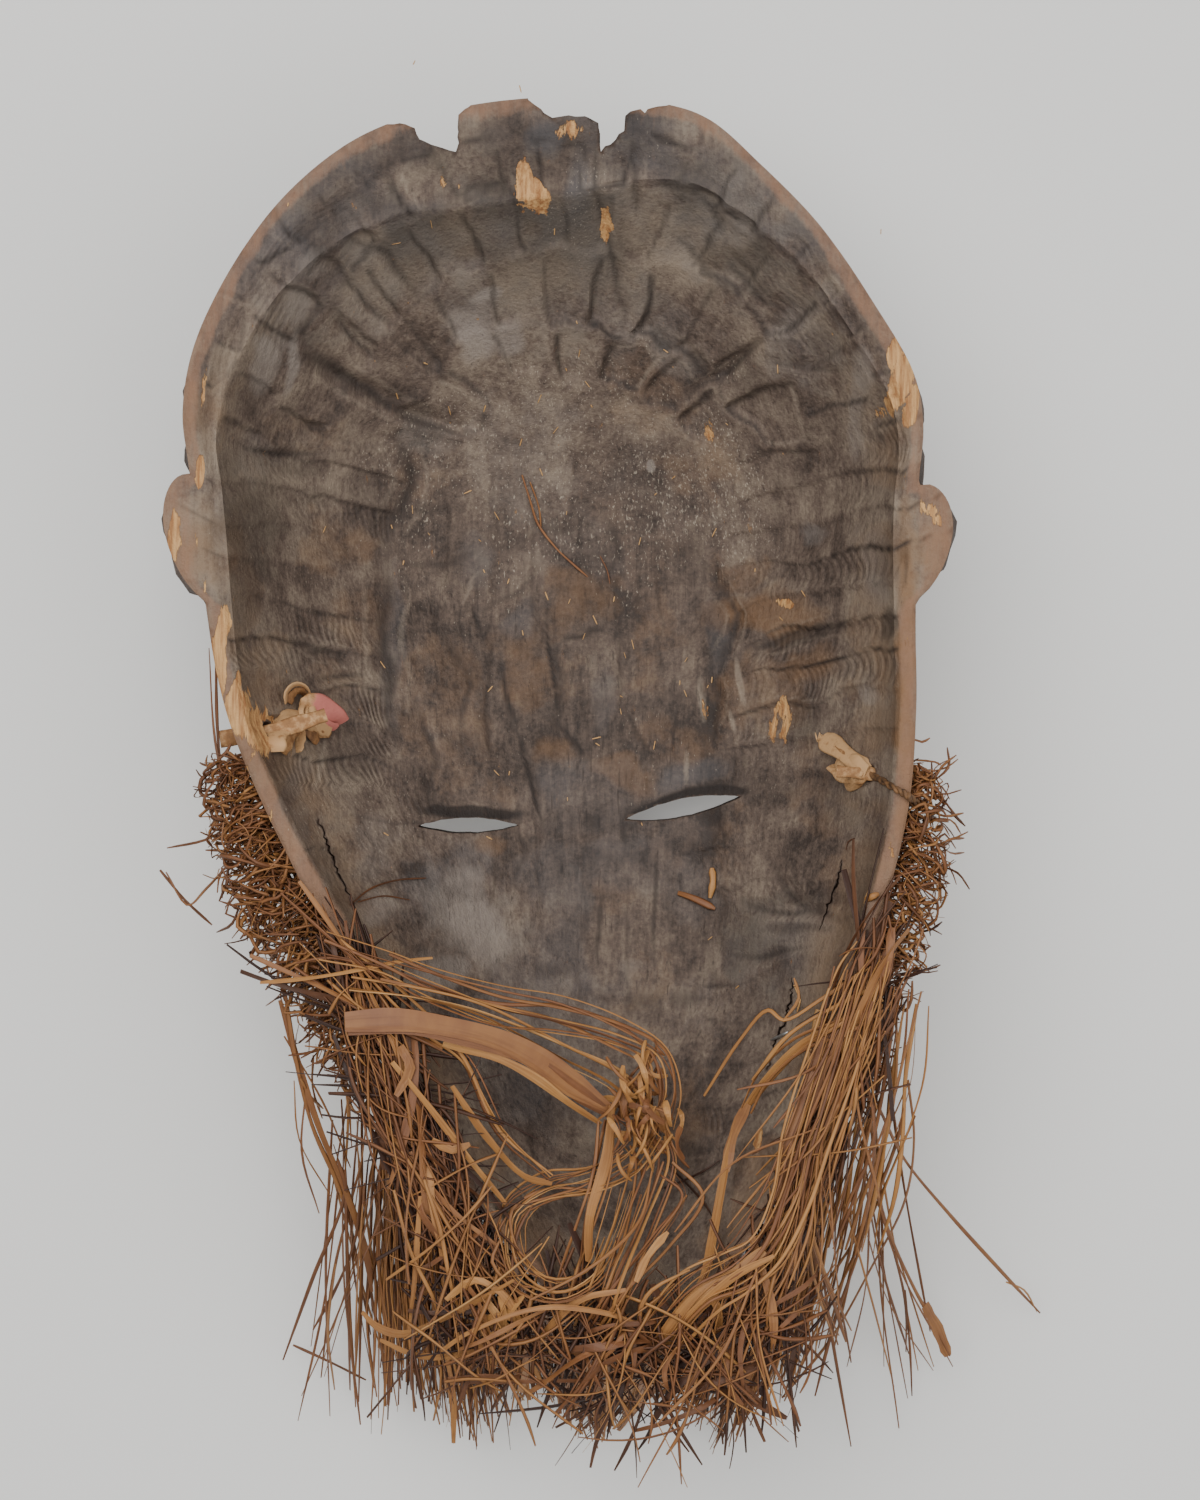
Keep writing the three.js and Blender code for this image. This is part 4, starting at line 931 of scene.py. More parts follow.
# What shows on the wood, each as an oval place in the picture: across, down, half-width, half-height, turn,
# strength
marks = {
    "bare": [
        (221, 655, 8, 52, 4, 1.0), (233, 704, 7, 34, 14, 1.0), (262, 736, 26, 24, 30, 0.9),
        (243, 716, 9, 26, 14, 0.9), (199, 470, 5, 18, 0, 0.95), (173, 538, 8, 27, 6, 1.0),
        (204, 385, 4, 26, 6, 0.75), (901, 378, 10, 38, 18, 1.0), (912, 408, 6, 22, 12, 0.95),
        (893, 352, 7, 16, 10, 0.9), (521, 185, 10, 25, 0, 0.95), (540, 200, 9, 16, -10, 0.95),
        (530, 205, 16, 9, 0, 0.7), (607, 224, 5, 18, 0, 1.0), (573, 133, 24, 10, 0, 0.5),
        (585, 150, 12, 6, 0, 0.4), (785, 603, 13, 5, 10, 0.75), (776, 722, 12, 26, 0, 0.55),
        (758, 1142, 4, 13, 12, 0.9), (930, 507, 9, 8, 0, 0.7), (938, 520, 7, 6, 0, 0.6),
        (905, 480, 4, 12, 0, 0.5), (440, 172, 9, 8, 0, 0.5), (712, 432, 9, 14, 0, 0.35),
        (866, 902, 5, 14, 20, 0.5), (818, 1040, 7, 26, 14, 0.55), (716, 880, 4, 14, 5, 0.45),
        (205, 580, 3, 16, 0, 0.5), (918, 560, 3, 12, 0, 0.4), (907, 640, 3, 20, 0, 0.35),
        (906, 720, 3, 26, 0, 0.35), (247, 770, 4, 22, 24, 0.6), (270, 822, 3, 24, 26, 0.4),
        (892, 850, 3, 24, -14, 0.45), (706, 700, 5, 20, 0, 0.35),
    ],
    "chalk": [
        (440, 975, 26, 16, 0, 0.85), (660, 350, 50, 26, 20, 0.45), (620, 370, 20, 30, 0, 0.4),
        (300, 300, 16, 26, 0, 0.8), (262, 372, 12, 26, 0, 0.8), (858, 420, 10, 50, 0, 0.6),
        (440, 245, 30, 16, -30, 0.5), (860, 372, 12, 26, 0, 0.8), (740, 235, 20, 14, 30, 0.6),
        (385, 905, 18, 24, 0, 0.6), (866, 930, 8, 40, 12, 0.7), (472, 330, 22, 34, 10, 0.9),
        (508, 340, 20, 20, 0, 0.8), (487, 296, 15, 7, -20, 1.1), (514, 349, 6, 6, 0, 0.9),
        (264, 350, 13, 22, 0, 0.95), (292, 362, 6, 34, 8, 0.9), (280, 335, 12, 14, 0, 0.6),
        (316, 262, 14, 16, 20, 0.55), (800, 322, 30, 22, 0, 0.5), (775, 335, 14, 22, 0, 0.4),
        (420, 432, 24, 30, 0, 0.5), (500, 450, 80, 60, 20, 0.4), (870, 692, 12, 12, 0, 0.7),
        (306, 830, 14, 30, 0, 0.5), (455, 930, 34, 44, -10, 0.8), (376, 850, 24, 30, 0, 0.45),
        (727, 1207, 8, 52, 6, 0.5), (575, 905, 40, 40, 0, 0.3), (652, 468, 4, 6, 0, 1.6),
        (640, 640, 60, 60, 0, 0.2), (690, 1010, 40, 50, 0, 0.3), (225, 520, 14, 50, 0, 0.35),
        (705, 420, 30, 40, 0, 0.3), (600, 300, 40, 50, 0, 0.25), (560, 260, 30, 40, 0, 0.3),
        (350, 210, 30, 16, -30, 0.35), (700, 150, 40, 12, 15, 0.3), (620, 770, 80, 16, 0, 0.3),
        (860, 540, 20, 26, 0, 0.3), (815, 538, 16, 14, 0, 0.4), (430, 880, 16, 30, 0, 0.35),
        (590, 990, 30, 50, 0, 0.25),
    ],
    "cool": [
        (520, 620, 18, 26, 0, 0.59), (600, 690, 22, 34, 0, 0.53), (562, 785, 34, 18, 10, 0.63),
        (690, 778, 44, 16, -8, 0.73), (720, 640, 16, 40, 0, 0.53), (470, 560, 24, 24, 0, 0.53),
        (620, 840, 30, 30, 0, 0.53), (461, 880, 40, 34, 0, 0.59), (690, 900, 40, 40, 0, 0.46),
        (500, 960, 30, 40, 0, 0.53), (538, 137, 18, 20, 0, 0.95), (578, 200, 22, 50, 0, 0.9),
        (395, 650, 12, 96, 0, 0.5), (540, 1040, 70, 100, 0, 0.6), (555, 900, 60, 90, 0, 0.5),
        (640, 860, 60, 50, 0, 0.45), (780, 950, 50, 60, 0, 0.5), (290, 800, 14, 50, 20, 0.55),
        (880, 565, 18, 40, 0, 0.6), (815, 538, 18, 16, 0, 0.6), (700, 240, 50, 50, 0, 0.4),
        (800, 330, 50, 50, 0, 0.5), (450, 900, 50, 60, 0, 0.5), (290, 330, 24, 50, 0, 0.4),
        (380, 200, 50, 24, 30, 0.5), (600, 520, 120, 90, 0, 0.3), (730, 200, 50, 34, 30, 0.5),
        (490, 330, 40, 40, 0, 0.45), (350, 1000, 60, 90, -20, 0.4), (620, 790, 120, 40, 0, 0.4),
        (660, 1180, 60, 70, 0, 0.3), (250, 460, 30, 30, 0, 0.4), (480, 140, 30, 20, 0, 0.35),
    ],
    "warm": [
        (577, 594, 36, 36, 0, 0.49), (530, 677, 22, 40, 0, 0.49), (559, 749, 24, 22, 0, 0.49),
        (627, 770, 34, 22, 10, 0.56), (487, 846, 24, 14, 0, 0.46), (743, 575, 26, 24, 0, 0.46),
        (466, 700, 22, 70, 0, 0.4), (655, 640, 26, 60, 0, 0.36), (240, 600, 20, 60, 0, 0.4),
        (260, 660, 24, 40, 0, 0.4), (870, 620, 22, 60, 0, 0.4), (866, 740, 20, 50, 0, 0.4),
        (520, 1010, 26, 30, 0, 0.33), (640, 1000, 34, 40, 0, 0.33), (690, 1120, 30, 60, 0, 0.4),
        (620, 900, 26, 26, 0, 0.33), (908, 700, 12, 210, 0, 0.95), (765, 615, 60, 22, -10, 0.7),
        (802, 668, 44, 28, 0, 0.6), (332, 550, 36, 36, 0, 0.45), (690, 850, 80, 40, 0, 0.3),
        (640, 560, 50, 80, 0, 0.3), (440, 700, 40, 90, 0, 0.35), (884, 650, 16, 60, 0, 0.5),
        (760, 700, 50, 40, 0, 0.45), (820, 780, 50, 50, 0, 0.35), (640, 400, 60, 40, 0, 0.35),
        (350, 620, 50, 30, 0, 0.4), (540, 660, 40, 60, 0, 0.3), (700, 470, 40, 40, 0, 0.4),
        (430, 480, 40, 30, 0, 0.3), (740, 130, 26, 12, 30, 0.5), (300, 440, 50, 30, 0, 0.3),
        (700, 740, 50, 40, 0, 0.35), (470, 780, 60, 30, 0, 0.3), (330, 700, 60, 40, 0, 0.3),
    ],
    "soot": [
        (800, 720, 24, 30, 0, 0.6), (760, 785, 50, 26, 0, 0.5), (375, 512, 30, 40, 0, 0.5),
        (650, 480, 50, 40, 0, 0.4), (745, 930, 34, 40, 0, 0.7), (500, 540, 30, 16, 0, 0.45),
        (560, 520, 40, 12, 10, 0.4), (375, 480, 24, 12, 10, 0.6), (245, 530, 32, 48, 0, 0.75),
        (420, 425, 26, 10, 30, 0.7), (345, 272, 14, 30, 40, 0.5), (395, 660, 9, 80, 0, 0.3),
        (285, 470, 50, 18, 10, 0.55), (740, 372, 34, 22, 30, 0.5), (405, 395, 34, 12, 30, 0.6),
        (805, 460, 12, 44, 0, 0.4), (805, 636, 50, 6, -15, 0.7), (500, 505, 24, 20, 0, 0.35),
        (690, 372, 14, 26, 30, 0.5), (330, 375, 50, 9, 30, 0.55), (810, 900, 60, 9, 0, 0.65),
        (780, 930, 60, 6, 0, 0.6), (850, 800, 34, 22, 0, 0.5), (440, 150, 24, 10, 15, 0.5),
        (618, 160, 12, 30, 0, 0.55), (335, 880, 14, 60, -20, 0.55), (700, 560, 12, 50, -10, 0.4),
        (215, 640, 8, 60, 4, 0.5), (235, 600, 20, 40, 0, 0.55), (470, 560, 40, 30, 0, 0.3),
        (300, 500, 60, 10, 0, 0.4), (870, 860, 16, 60, 15, 0.5), (760, 1000, 40, 40, 0, 0.4),
        # painted shadow: the last mark on this line and the first on the next darken the top edge of each eye
        # slit
        (560, 880, 14, 50, 0, 0.3), (250, 400, 30, 30, 0, 0.35), (470, 816, 54, 5, 0, 1.0),
        (684, 796, 60, 6, -12, 1.1), (480, 290, 40, 20, 0, 0.3), (640, 250, 14, 60, 0, 0.35),
        (310, 330, 20, 40, -40, 0.4), (660, 700, 12, 60, 0, 0.3), (560, 680, 130, 110, 0, 0.3),
        (890, 622, 8, 18, 0, 1.0), (906, 560, 3, 30, 0, 0.8), (206, 620, 3, 30, 0, 0.7),
        (480, 700, 10, 70, 0, 0.5), (556, 690, 8, 70, 0, 0.55), (780, 500, 8, 60, 0, 0.35),
        (225, 470, 14, 26, 0, 0.5), (440, 940, 12, 60, -10, 0.4), (700, 960, 20, 60, 10, 0.35),
        (350, 760, 40, 20, 0, 0.5), (378, 540, 14, 40, 0, 0.4),
    ],
    "groove": [
        # painted shadow: the first three darken the top edge of each eye slit
        (470, 813, 50, 6, 0, 1.6), (664, 803, 40, 6, -16, 1.6), (714, 794, 30, 6, -2, 1.6),
        (551, 665, 2.8, 54, -5, 1.05), (573, 740, 2.8, 30, -38, 0.95), (509, 699, 2.8, 38, -12, 1.0),
        (530, 780, 2.8, 47, -16, 1.05), (479, 625, 3, 24, -22, 0.95), (580, 636, 3, 30, 75, 0.9),
        (640, 735, 3, 34, -30, 0.8), (715, 815, 3, 30, -20, 0.8), (600, 930, 3, 44, 4, 0.8),
        (655, 905, 3, 60, 2, 0.8),
    ],
    "lip": [
        (703, 698, 3.5, 22, -6, 1.3), (741, 683, 3.5, 24, -10, 1.3), (687, 768, 3, 18, -2, 1.1),
        (733, 722, 3, 12, -16, 1.1), (320, 768, 3, 26, 10, 1.1), (470, 585, 3, 20, 20, 0.9),
    ],
    "specks": [
        (540, 470, 200, 140, 0, 0.95), (420, 430, 60, 60, 0, 0.95), (700, 500, 90, 110, 0, 1.05),
        (700, 740, 160, 70, 0, 0.7), (460, 690, 120, 120, 0, 0.6), (300, 560, 90, 110, 0, 0.7),
        (578, 205, 40, 80, 0, 0.9), (640, 150, 90, 40, 0, 0.6), (350, 830, 80, 60, 0, 0.8),
    ],
}


def paintMarks(piece):
    # stains, chips, cut lines and wear, with painted shade and painted light, as numbers on the wood's points
    # that its finish reads
    mesh = piece.data
    count = len(mesh.vertices)
    x, y, z = carverPlaces(mesh).T
    u, v = shownAt(x, y, z)
    upward = readPoints(mesh, "normal")[:, 2]
    hollow = np.zeros(count)
    mesh.attributes["hollow"].data.foreach_get("value", hollow)
    pushU = layered(u, v, 46, 4, 71)
    pushV = layered(u, v, 46, 4, 83)
    made = {}
    for name, spots in marks.items():
        strength = np.zeros(count)
        for across, down, halfWidth, halfHeight, turn, power in spots:
            c, s = math.cos(math.radians(turn)), math.sin(math.radians(turn))
            shake = 0.9 * min(halfWidth, halfHeight)
            du, dv = u - across + shake * pushU, v - down + shake * pushV
            outwards = np.hypot((du * c + dv * s) / halfWidth, (-du * s + dv * c) / halfHeight)
            strength = np.maximum(strength, power * (1 - smoothStep(0.46, 1.54, outwards)))
        low, high = (-16, -6) if name == "bare" else (-9, -3)  # it fades between these, down the outer side
        made[name] = strength * np.where(upward > -0.3, 1, 0) * np.maximum(hollow, smoothStep(low, high, z))
    radius = np.hypot(x - middleX, y - middleY)
    turn = np.arctan2(y - middleY, x - middleX)
    fromEdge = baseRadius(turn) + earRise(turn) - radius
    thin = mix(mask["flatRim"] - 0.6, 2.4, smoothStep(110, 150, y))
    made["edge"] = 1.15 * (1 - smoothStep(thin, thin + 2.2, fromEdge + 1.2 * pushU)) * smoothStep(-9, -3, z)
    inwards = baseRadius(turn) - radius
    made["edge"] = np.maximum(made["edge"], smoothStep(1, -3, inwards) * smoothStep(-14, -6, z))  # the ears
    # a darker band from a few mm to 15 mm inside the rim, fading out towards the crown
    beside = smoothStep(thin, thin + 1.2, inwards) * smoothStep(15, 7, inwards) * hollow
    beside = 0.55 * beside * (1 - smoothStep(95, 130, y))
    made["soot"] = np.maximum(made["soot"], beside * np.clip(0.8 + pushV, 0, 1))
    crown = smoothStep(100, 135, y) * smoothStep(2, 5, fromEdge) * hollow
    made["soot"] = np.maximum(made["soot"], 0.8 * crown * np.clip(0.8 + pushV, 0, 1))
    made["cool"] = np.maximum(made["cool"], 0.75 * crown * np.clip(0.7 + pushU, 0, 1))
    walls = smoothStep(30, 8, inwards) * smoothStep(120, 80, y) * hollow
    made["warm"] = np.maximum(made["warm"], 0.55 * walls * np.clip(0.8 + pushV, 0, 1))
    upper = 0.5 * smoothStep(70, 125, y) * hollow
    made["cool"] = np.maximum(made["cool"], upper * np.clip(0.8 + pushU, 0, 1))
    tools = toolMarks(u, v)
    below = smoothStep(0.05, 0.6, -z) * hollow
    # painted light: the tint is raised in a band down the crown's wall and near the rim on the steep walls,
    # lightening the shade that falls there
    crownTint = 1.5 * smoothStep(95, 130, y)
    tools["tint"] = tools["tint"] + crownTint * smoothStep(5, 9, -z) * smoothStep(52, 22, -z)
    tools["tint"] = tools["tint"] + 1.0 * smoothStep(26, 10, inwards) * smoothStep(130, 95, y)
    for key in ("groove", "lip", "chatter", "tint", "grainLine"):
        made[key] = np.maximum(tools[key] * below, made.get(key, -9))
    made["chatter"] *= smoothStep(3, 7, inwards)
    made["phase"] = tools["phase"] + 0.15 * pushU
    for name, values in made.items():
        mesh.attributes.new(name, "FLOAT", "POINT").data.foreach_set("value", values)


wood = makeWood()
maskBody = makeMask(wood)
paintMarks(maskBody)
carved = madeTree(maskBody.data)
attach(maskBody, "root")
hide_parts("mask_shell")
print("mask carved")

raffiaFinish = {"gold": "#AA7843", "orange": "#7C4F2F", "dark": "#371F14", "pale": "#C89E69"}


def makeRaffia():
    # split palm leaf, dried: flat satin strips, golden brown, dark to pale by each strand's tone, which also
    # carries painted shade, darker for strands deeper in a mass
    material, tree, shader = newFinish("driedRaffiaLeaf", {"Roughness": 0.52, "Specular IOR Level": 0.4})
    look = {k: linear(v) for k, v in raffiaFinish.items()}
    tone, along, across = (addNode(tree, "ShaderNodeAttribute", {"attribute_name": name}).outputs["Fac"]
                           for name in ("tone", "along", "across"))
    place = addNode(tree, "ShaderNodeCombineXYZ", None, {"X": across, "Y": along, "Z": tone})
    # along is in metres: veins 0.3 mm apart, patches 12 mm long
    veinPlace = addNode(tree, "ShaderNodeMapping", {"Scale": (9, 30, 70)}, {"Vector": place})
    veins = addNode(tree, "ShaderNodeTexNoise", {"Scale": 1.0, "Detail": 3.0, "Roughness": 0.6},
                    {"Vector": veinPlace})
    patchPlace = addNode(tree, "ShaderNodeMapping", {"Scale": (0.6, 80, 90)}, {"Vector": place})
    patches = addNode(tree, "ShaderNodeTexNoise", {"Scale": 1.0, "Detail": 4.0, "Roughness": 0.6},
                      {"Vector": patchPlace})
    mixed = addNode(tree, "ShaderNodeMath", {"operation": "MULTIPLY_ADD", 1: 0.45}, {0: patches, 2: tone})
    shifted = addNode(tree, "ShaderNodeMath", {"operation": "SUBTRACT", 1: 0.225}, {0: mixed})
    ramp = addNode(tree, "ShaderNodeValToRGB", None, {"Fac": shifted})
    setRamp(ramp, {0.06: look["dark"], 0.36: look["orange"], 0.68: look["gold"], 1.0: look["pale"]})
    strength = addNode(tree, "ShaderNodeMapRange", {"From Min": 0.48, "From Max": 0.75, "To Max": 0.75},
                       {"Value": veins})
    veined = addNode(tree, "ShaderNodeMix",
                     {"data_type": "RGBA", "blend_type": "MULTIPLY", 7: (0.55, 0.45, 0.36, 1)},
                     {0: strength, 6: ramp})
    bump = addNode(tree, "ShaderNodeBump", {"Strength": 0.5, "Distance": 0.0002}, {"Height": veins})
    wire(shader, {"Base Color": veined, "Normal": bump})
    return material


def newTree(name, inputs):
    # a tree with named inputs and one geometry output
    tree = bpy.data.node_groups.new(name, "GeometryNodeTree")
    for label, kind in inputs.items():
        tree.interface.new_socket(label, in_out="INPUT", socket_type="NodeSocket" + kind)
    tree.interface.new_socket("Geometry", in_out="OUTPUT", socket_type="NodeSocketGeometry")
    return tree, addNode(tree, "NodeGroupInput").outputs


def endTree(tree, shape, finish):
    real = addNode(tree, "GeometryNodeRealizeInstances", None, {"Geometry": shape})
    painted = addNode(tree, "GeometryNodeSetMaterial", None, {"Geometry": real, "Material": finish})
    addNode(tree, "NodeGroupOutput", None, {"Geometry": painted})
    return tree


def ribbonTree():
    # sweeps a flat closed section along each guide line; width, turn and tone come from the guide's points
    tree, given = newTree("fibreRibbons",
                          {"Guides": "Geometry", "Sides": "Int", "Flatness": "Float", "Finish": "Material"})
    halfWidth, turnOver = (addNode(tree, "GeometryNodeInputNamedAttribute",
                                   {"data_type": "FLOAT", "Name": name})
                           for name in ("halfWidth", "turnOver"))
    curve = addNode(tree, "GeometryNodeMeshToCurve", None, {"Mesh": given["Guides"]})
    level = addNode(tree, "GeometryNodeSetCurveNormal", {"mode": "Z_UP"}, {"Curve": curve})
    turned = addNode(tree, "GeometryNodeSetCurveTilt", None, {"Curve": level, "Tilt": turnOver})
    parameter = addNode(tree, "GeometryNodeSplineParameter").outputs
    ring = addNode(tree, "GeometryNodeCurvePrimitiveCircle", {"mode": "RADIUS", "Radius": 1.0},
                   {"Resolution": given["Sides"]})
    flat = addNode(tree, "ShaderNodeCombineXYZ", {"X": 1.0, "Z": 1.0}, {"Y": given["Flatness"]})
    section = addNode(tree, "GeometryNodeTransform", None, {"Geometry": ring, "Scale": flat})
    stored = {}
    for name, shape, value in (("along", turned, "Length"), ("across", section, "Factor")):
        kept = {"data_type": "FLOAT", "domain": "POINT", "Name": name}
        stored[name] = addNode(tree, "GeometryNodeStoreNamedAttribute", kept,
                               {"Geometry": shape, "Value": parameter[value]})
    swept = addNode(tree, "GeometryNodeCurveToMesh", {"Fill Caps": True},
                    {"Curve": stored["along"], "Profile Curve": stored["across"], "Scale": halfWidth})
    return endTree(tree, swept, given["Finish"])


def applyTree(piece, tree, values):
    # runs a tree on a piece and keeps the result as a plain mesh
    grow = piece.modifiers.new(tree.name, "NODES")
    grow.node_group = tree
    for socket in tree.interface.items_tree:
        if socket.in_out == "INPUT" and socket.name in values:
            grow[socket.identifier] = values[socket.name]
    piece.update_tag()
    keepEvaluated(piece)
    piece.data.shade_smooth()


strandValues = ("halfWidth", "turnOver", "tone", "dye")  # what each point of a strand carries


def newStore(strips=None):
    # strips is the store that takes the wide, flat ones
    return {"points": [], "edges": [], "strips": strips, **{key: [] for key in strandValues}}


def addStrand(store, path, halfWidth, tone, dice, step, roll=0.5, ends=(0.75, 0.5)):
    # one strip along a few points, with a point about each step in mm. It narrows to its ends and turns over
    # by up to twice the roll
    if halfWidth > 0.66 and store["strips"] is not None:
        store = store["strips"]
    path = np.asarray(path, float)
    length = float(np.sum(np.linalg.norm(np.diff(path, axis=0), axis=1)))
    perSpan = max(2, int(round(length / step / (len(path) - 1))))
    line = roundedLine(path, False, perSpan)
    line[:, 2] = np.maximum(line[:, 2], floorLevel + 1.0)
    count = len(line)
    t = np.linspace(0, 1, count)
    width = halfWidth * np.minimum(1, mix(ends[0], 1, t / 0.12))
    width *= np.minimum(1, mix(ends[1], 1, (1 - t) / 0.16))
    width *= 1 + 0.15 * np.sin(t * dice.uniform(6, 14) + dice.uniform(0, 6))
    start = len(store["points"])
    store["points"].extend(map(tuple, line))
    store["edges"].extend((start + k, start + k + 1) for k in range(count - 1))
    store["halfWidth"].extend(width / 1000)
    lean, swing, phase = dice.uniform(-roll, roll), dice.uniform(0, roll), dice.uniform(0, 6)
    store["turnOver"].extend(lean + swing * np.sin(t * dice.uniform(2, 7) + phase))
    first, last = tone if isinstance(tone, tuple) else (tone, tone)
    store["tone"].extend(np.clip(np.linspace(first, last, count), 0, 1))
    store["dye"].extend([0.0] * count)


def spreadBundle(store, path, count, gap, halfWidth, tone, dice):
    # several strands along one path, each wandering on its own, some shorter than others
    path = np.asarray(path, float)
    for k in range(count):
        aside = (k - (count - 1) / 2) * gap + dice.gauss(0, 0.7) * gap
        drift, phase = dice.uniform(0.4, 1.8) * gap, dice.uniform(0, 6.3)
        made = []
        for i, p in enumerate(path):
            ahead = path[min(i + 1, len(path) - 1)] - path[max(i - 1, 0)]
            flat = np.array([-ahead[1], ahead[0], 0]) / max(1e-6, math.hypot(ahead[0], ahead[1]))
            place = p + flat * (aside + drift * math.sin(i * 1.3 + phase))
            made.append(place + (0, 0, dice.uniform(-1.2, 1.2)))
        begin = dice.choice((0, 0, 0, 1)) if len(path) > 5 else 0
        finish = len(path) - (dice.choice((0, 0, 0, 1)) if len(path) > 5 else 0)
        own = halfWidth * dice.uniform(0.5, 1.5)
        addStrand(store, made[begin:finish], own, tone + dice.uniform(-0.3, 0.2), dice, 3.2, 0.9)


def growStrands(name, store, finish, sides, flatness):
    values = {key: store[key] for key in strandValues}
    piece = addPiece(name, placed(store["points"]), edges=store["edges"], values=values)
    applyTree(piece, ribbons, {"Sides": sides, "Flatness": flatness, "Finish": finish})
    if name == "raffiaLeafStrips":  # these keep the hard edges of folded leaf
        piece.data.shade_flat()
    return piece


def towards(turn, rise=0.0):
    return np.array([math.cos(turn), math.sin(turn), rise])


floorLevel = -mask["restDepth"]
raffiaLeaf = makeRaffia()
ribbons = ribbonTree()
leafStrips = newStore()

beard = {
    "bandStart": (-93, -17), "bandEnd": (94.3, -19),
    "rollLeft": {"from": 0.0, "to": 0.315, "thin": 4.5, "thick": 9.5, "loops": 760},
    "rollRight": {"from": 1.0, "to": 0.72, "thin": 2.6, "thick": 7.0, "loops": 520},
    "hanks": {
        "count": 9, "first": 0.33, "last": 0.7, "leftEnd": -58, "rightEnd": 62, "end": -214,
        "strands": 118,  # in each hank
    },
}


def turnOf(place):
    return math.atan2(place[1] - middleY, place[0] - middleX) + 2 * math.pi


bandStart, bandEnd = turnOf(beard["bandStart"]), turnOf(beard["bandEnd"])


def rimPlace(share, out, z):
    # a place beside the rim: share runs from the left temple round the chin to the right one
    turn = mix(bandStart, bandEnd, share)
    reach = float(baseRadius(turn)) + out
    return np.array([middleX + reach * math.cos(turn), middleY + reach * math.sin(turn), z])


def rollStrands(look, dice):
    # the beard's bound top: curls of fibre in a tangle over its cord, with ends that stand out
    store = newStore(leafStrips)
    reachAlong = look["to"] - look["from"]
    for k in range(look["loops"]):
        t = (k + dice.random()) / look["loops"]
        size = mix(look["thin"], look["thick"], math.sin(math.pi / 2 * min(1, (t * 8 + 0.4) / 4)))
        share = look["from"] + reachAlong * t
        turn = mix(bandStart, bandEnd, share)
        aroundCord = dice.uniform(-0.9, 2.7)
        out, drop = 1.05 - 0.8 * math.cos(aroundCord), 0.8 - 0.8 * math.sin(aroundCord)
        middle = rimPlace(share, size * out, -5 - size * drop)
        outward = Vector(towards(turn))
        lean = Matrix.Rotation(dice.gauss(0, 0.7), 3, "Z") @ Matrix.Rotation(dice.gauss(0, 0.6), 3, outward)
        first, second = lean @ outward, lean @ Vector((0, 0, 1))
        ahead = lean @ outward.cross(Vector((0, 0, 1)))
        radius = size * dice.uniform(0.25, 0.75)
        begin, sweep, drift = dice.uniform(0, 6.3), dice.uniform(2.2, 6.5), dice.uniform(-4, 4)
        path = []
        for i in range(7):
            angle = begin + sweep * i / 6
            r = radius * (1 + 0.15 * i * dice.uniform(-0.3, 1))
            turned = first * (r * math.cos(angle)) + second * (r * 0.8 * math.sin(angle))
            path.append(middle + np.array(turned + ahead * (drift * i / 6)))
        halfWidth = dice.uniform(0.22, 0.6)
        # painted shade: strands under the cord a little darker, those over it lighter
        tone = 0.18 + 0.36 * dice.random() + 0.06 * math.sin(aroundCord)
        addStrand(store, path, halfWidth, tone, dice, 2.8, 1.2)
    for k in range(look["loops"] // 5):
        t = dice.random()
        size = mix(look["thin"], look["thick"], math.sin(math.pi / 2 * min(1, (t * 8 + 0.4) / 4)))
        share = look["from"] + reachAlong * t
        start = rimPlace(share, size * dice.uniform(0.8, 2.0), -6 - size * dice.uniform(0.2, 1.4))
        turn = mix(bandStart, bandEnd, share) + dice.uniform(-1.4, 1.4)
        length = dice.uniform(4, 12)
        lift = dice.uniform(-7, 5)
        middle = start + length * 0.5 * towards(turn, 0.1) + (0, 0, dice.uniform(-1.5, 2.5))
        bend = turn + dice.uniform(-0.9, 0.9)
        end = middle + length * 0.5 * towards(bend) + (0, 0, lift)
        halfWidth, tone = dice.uniform(0.18, 0.4), 0.15 + 0.35 * dice.random()
        addStrand(store, [start, middle, end], halfWidth, tone, dice, 2.4)
    return store


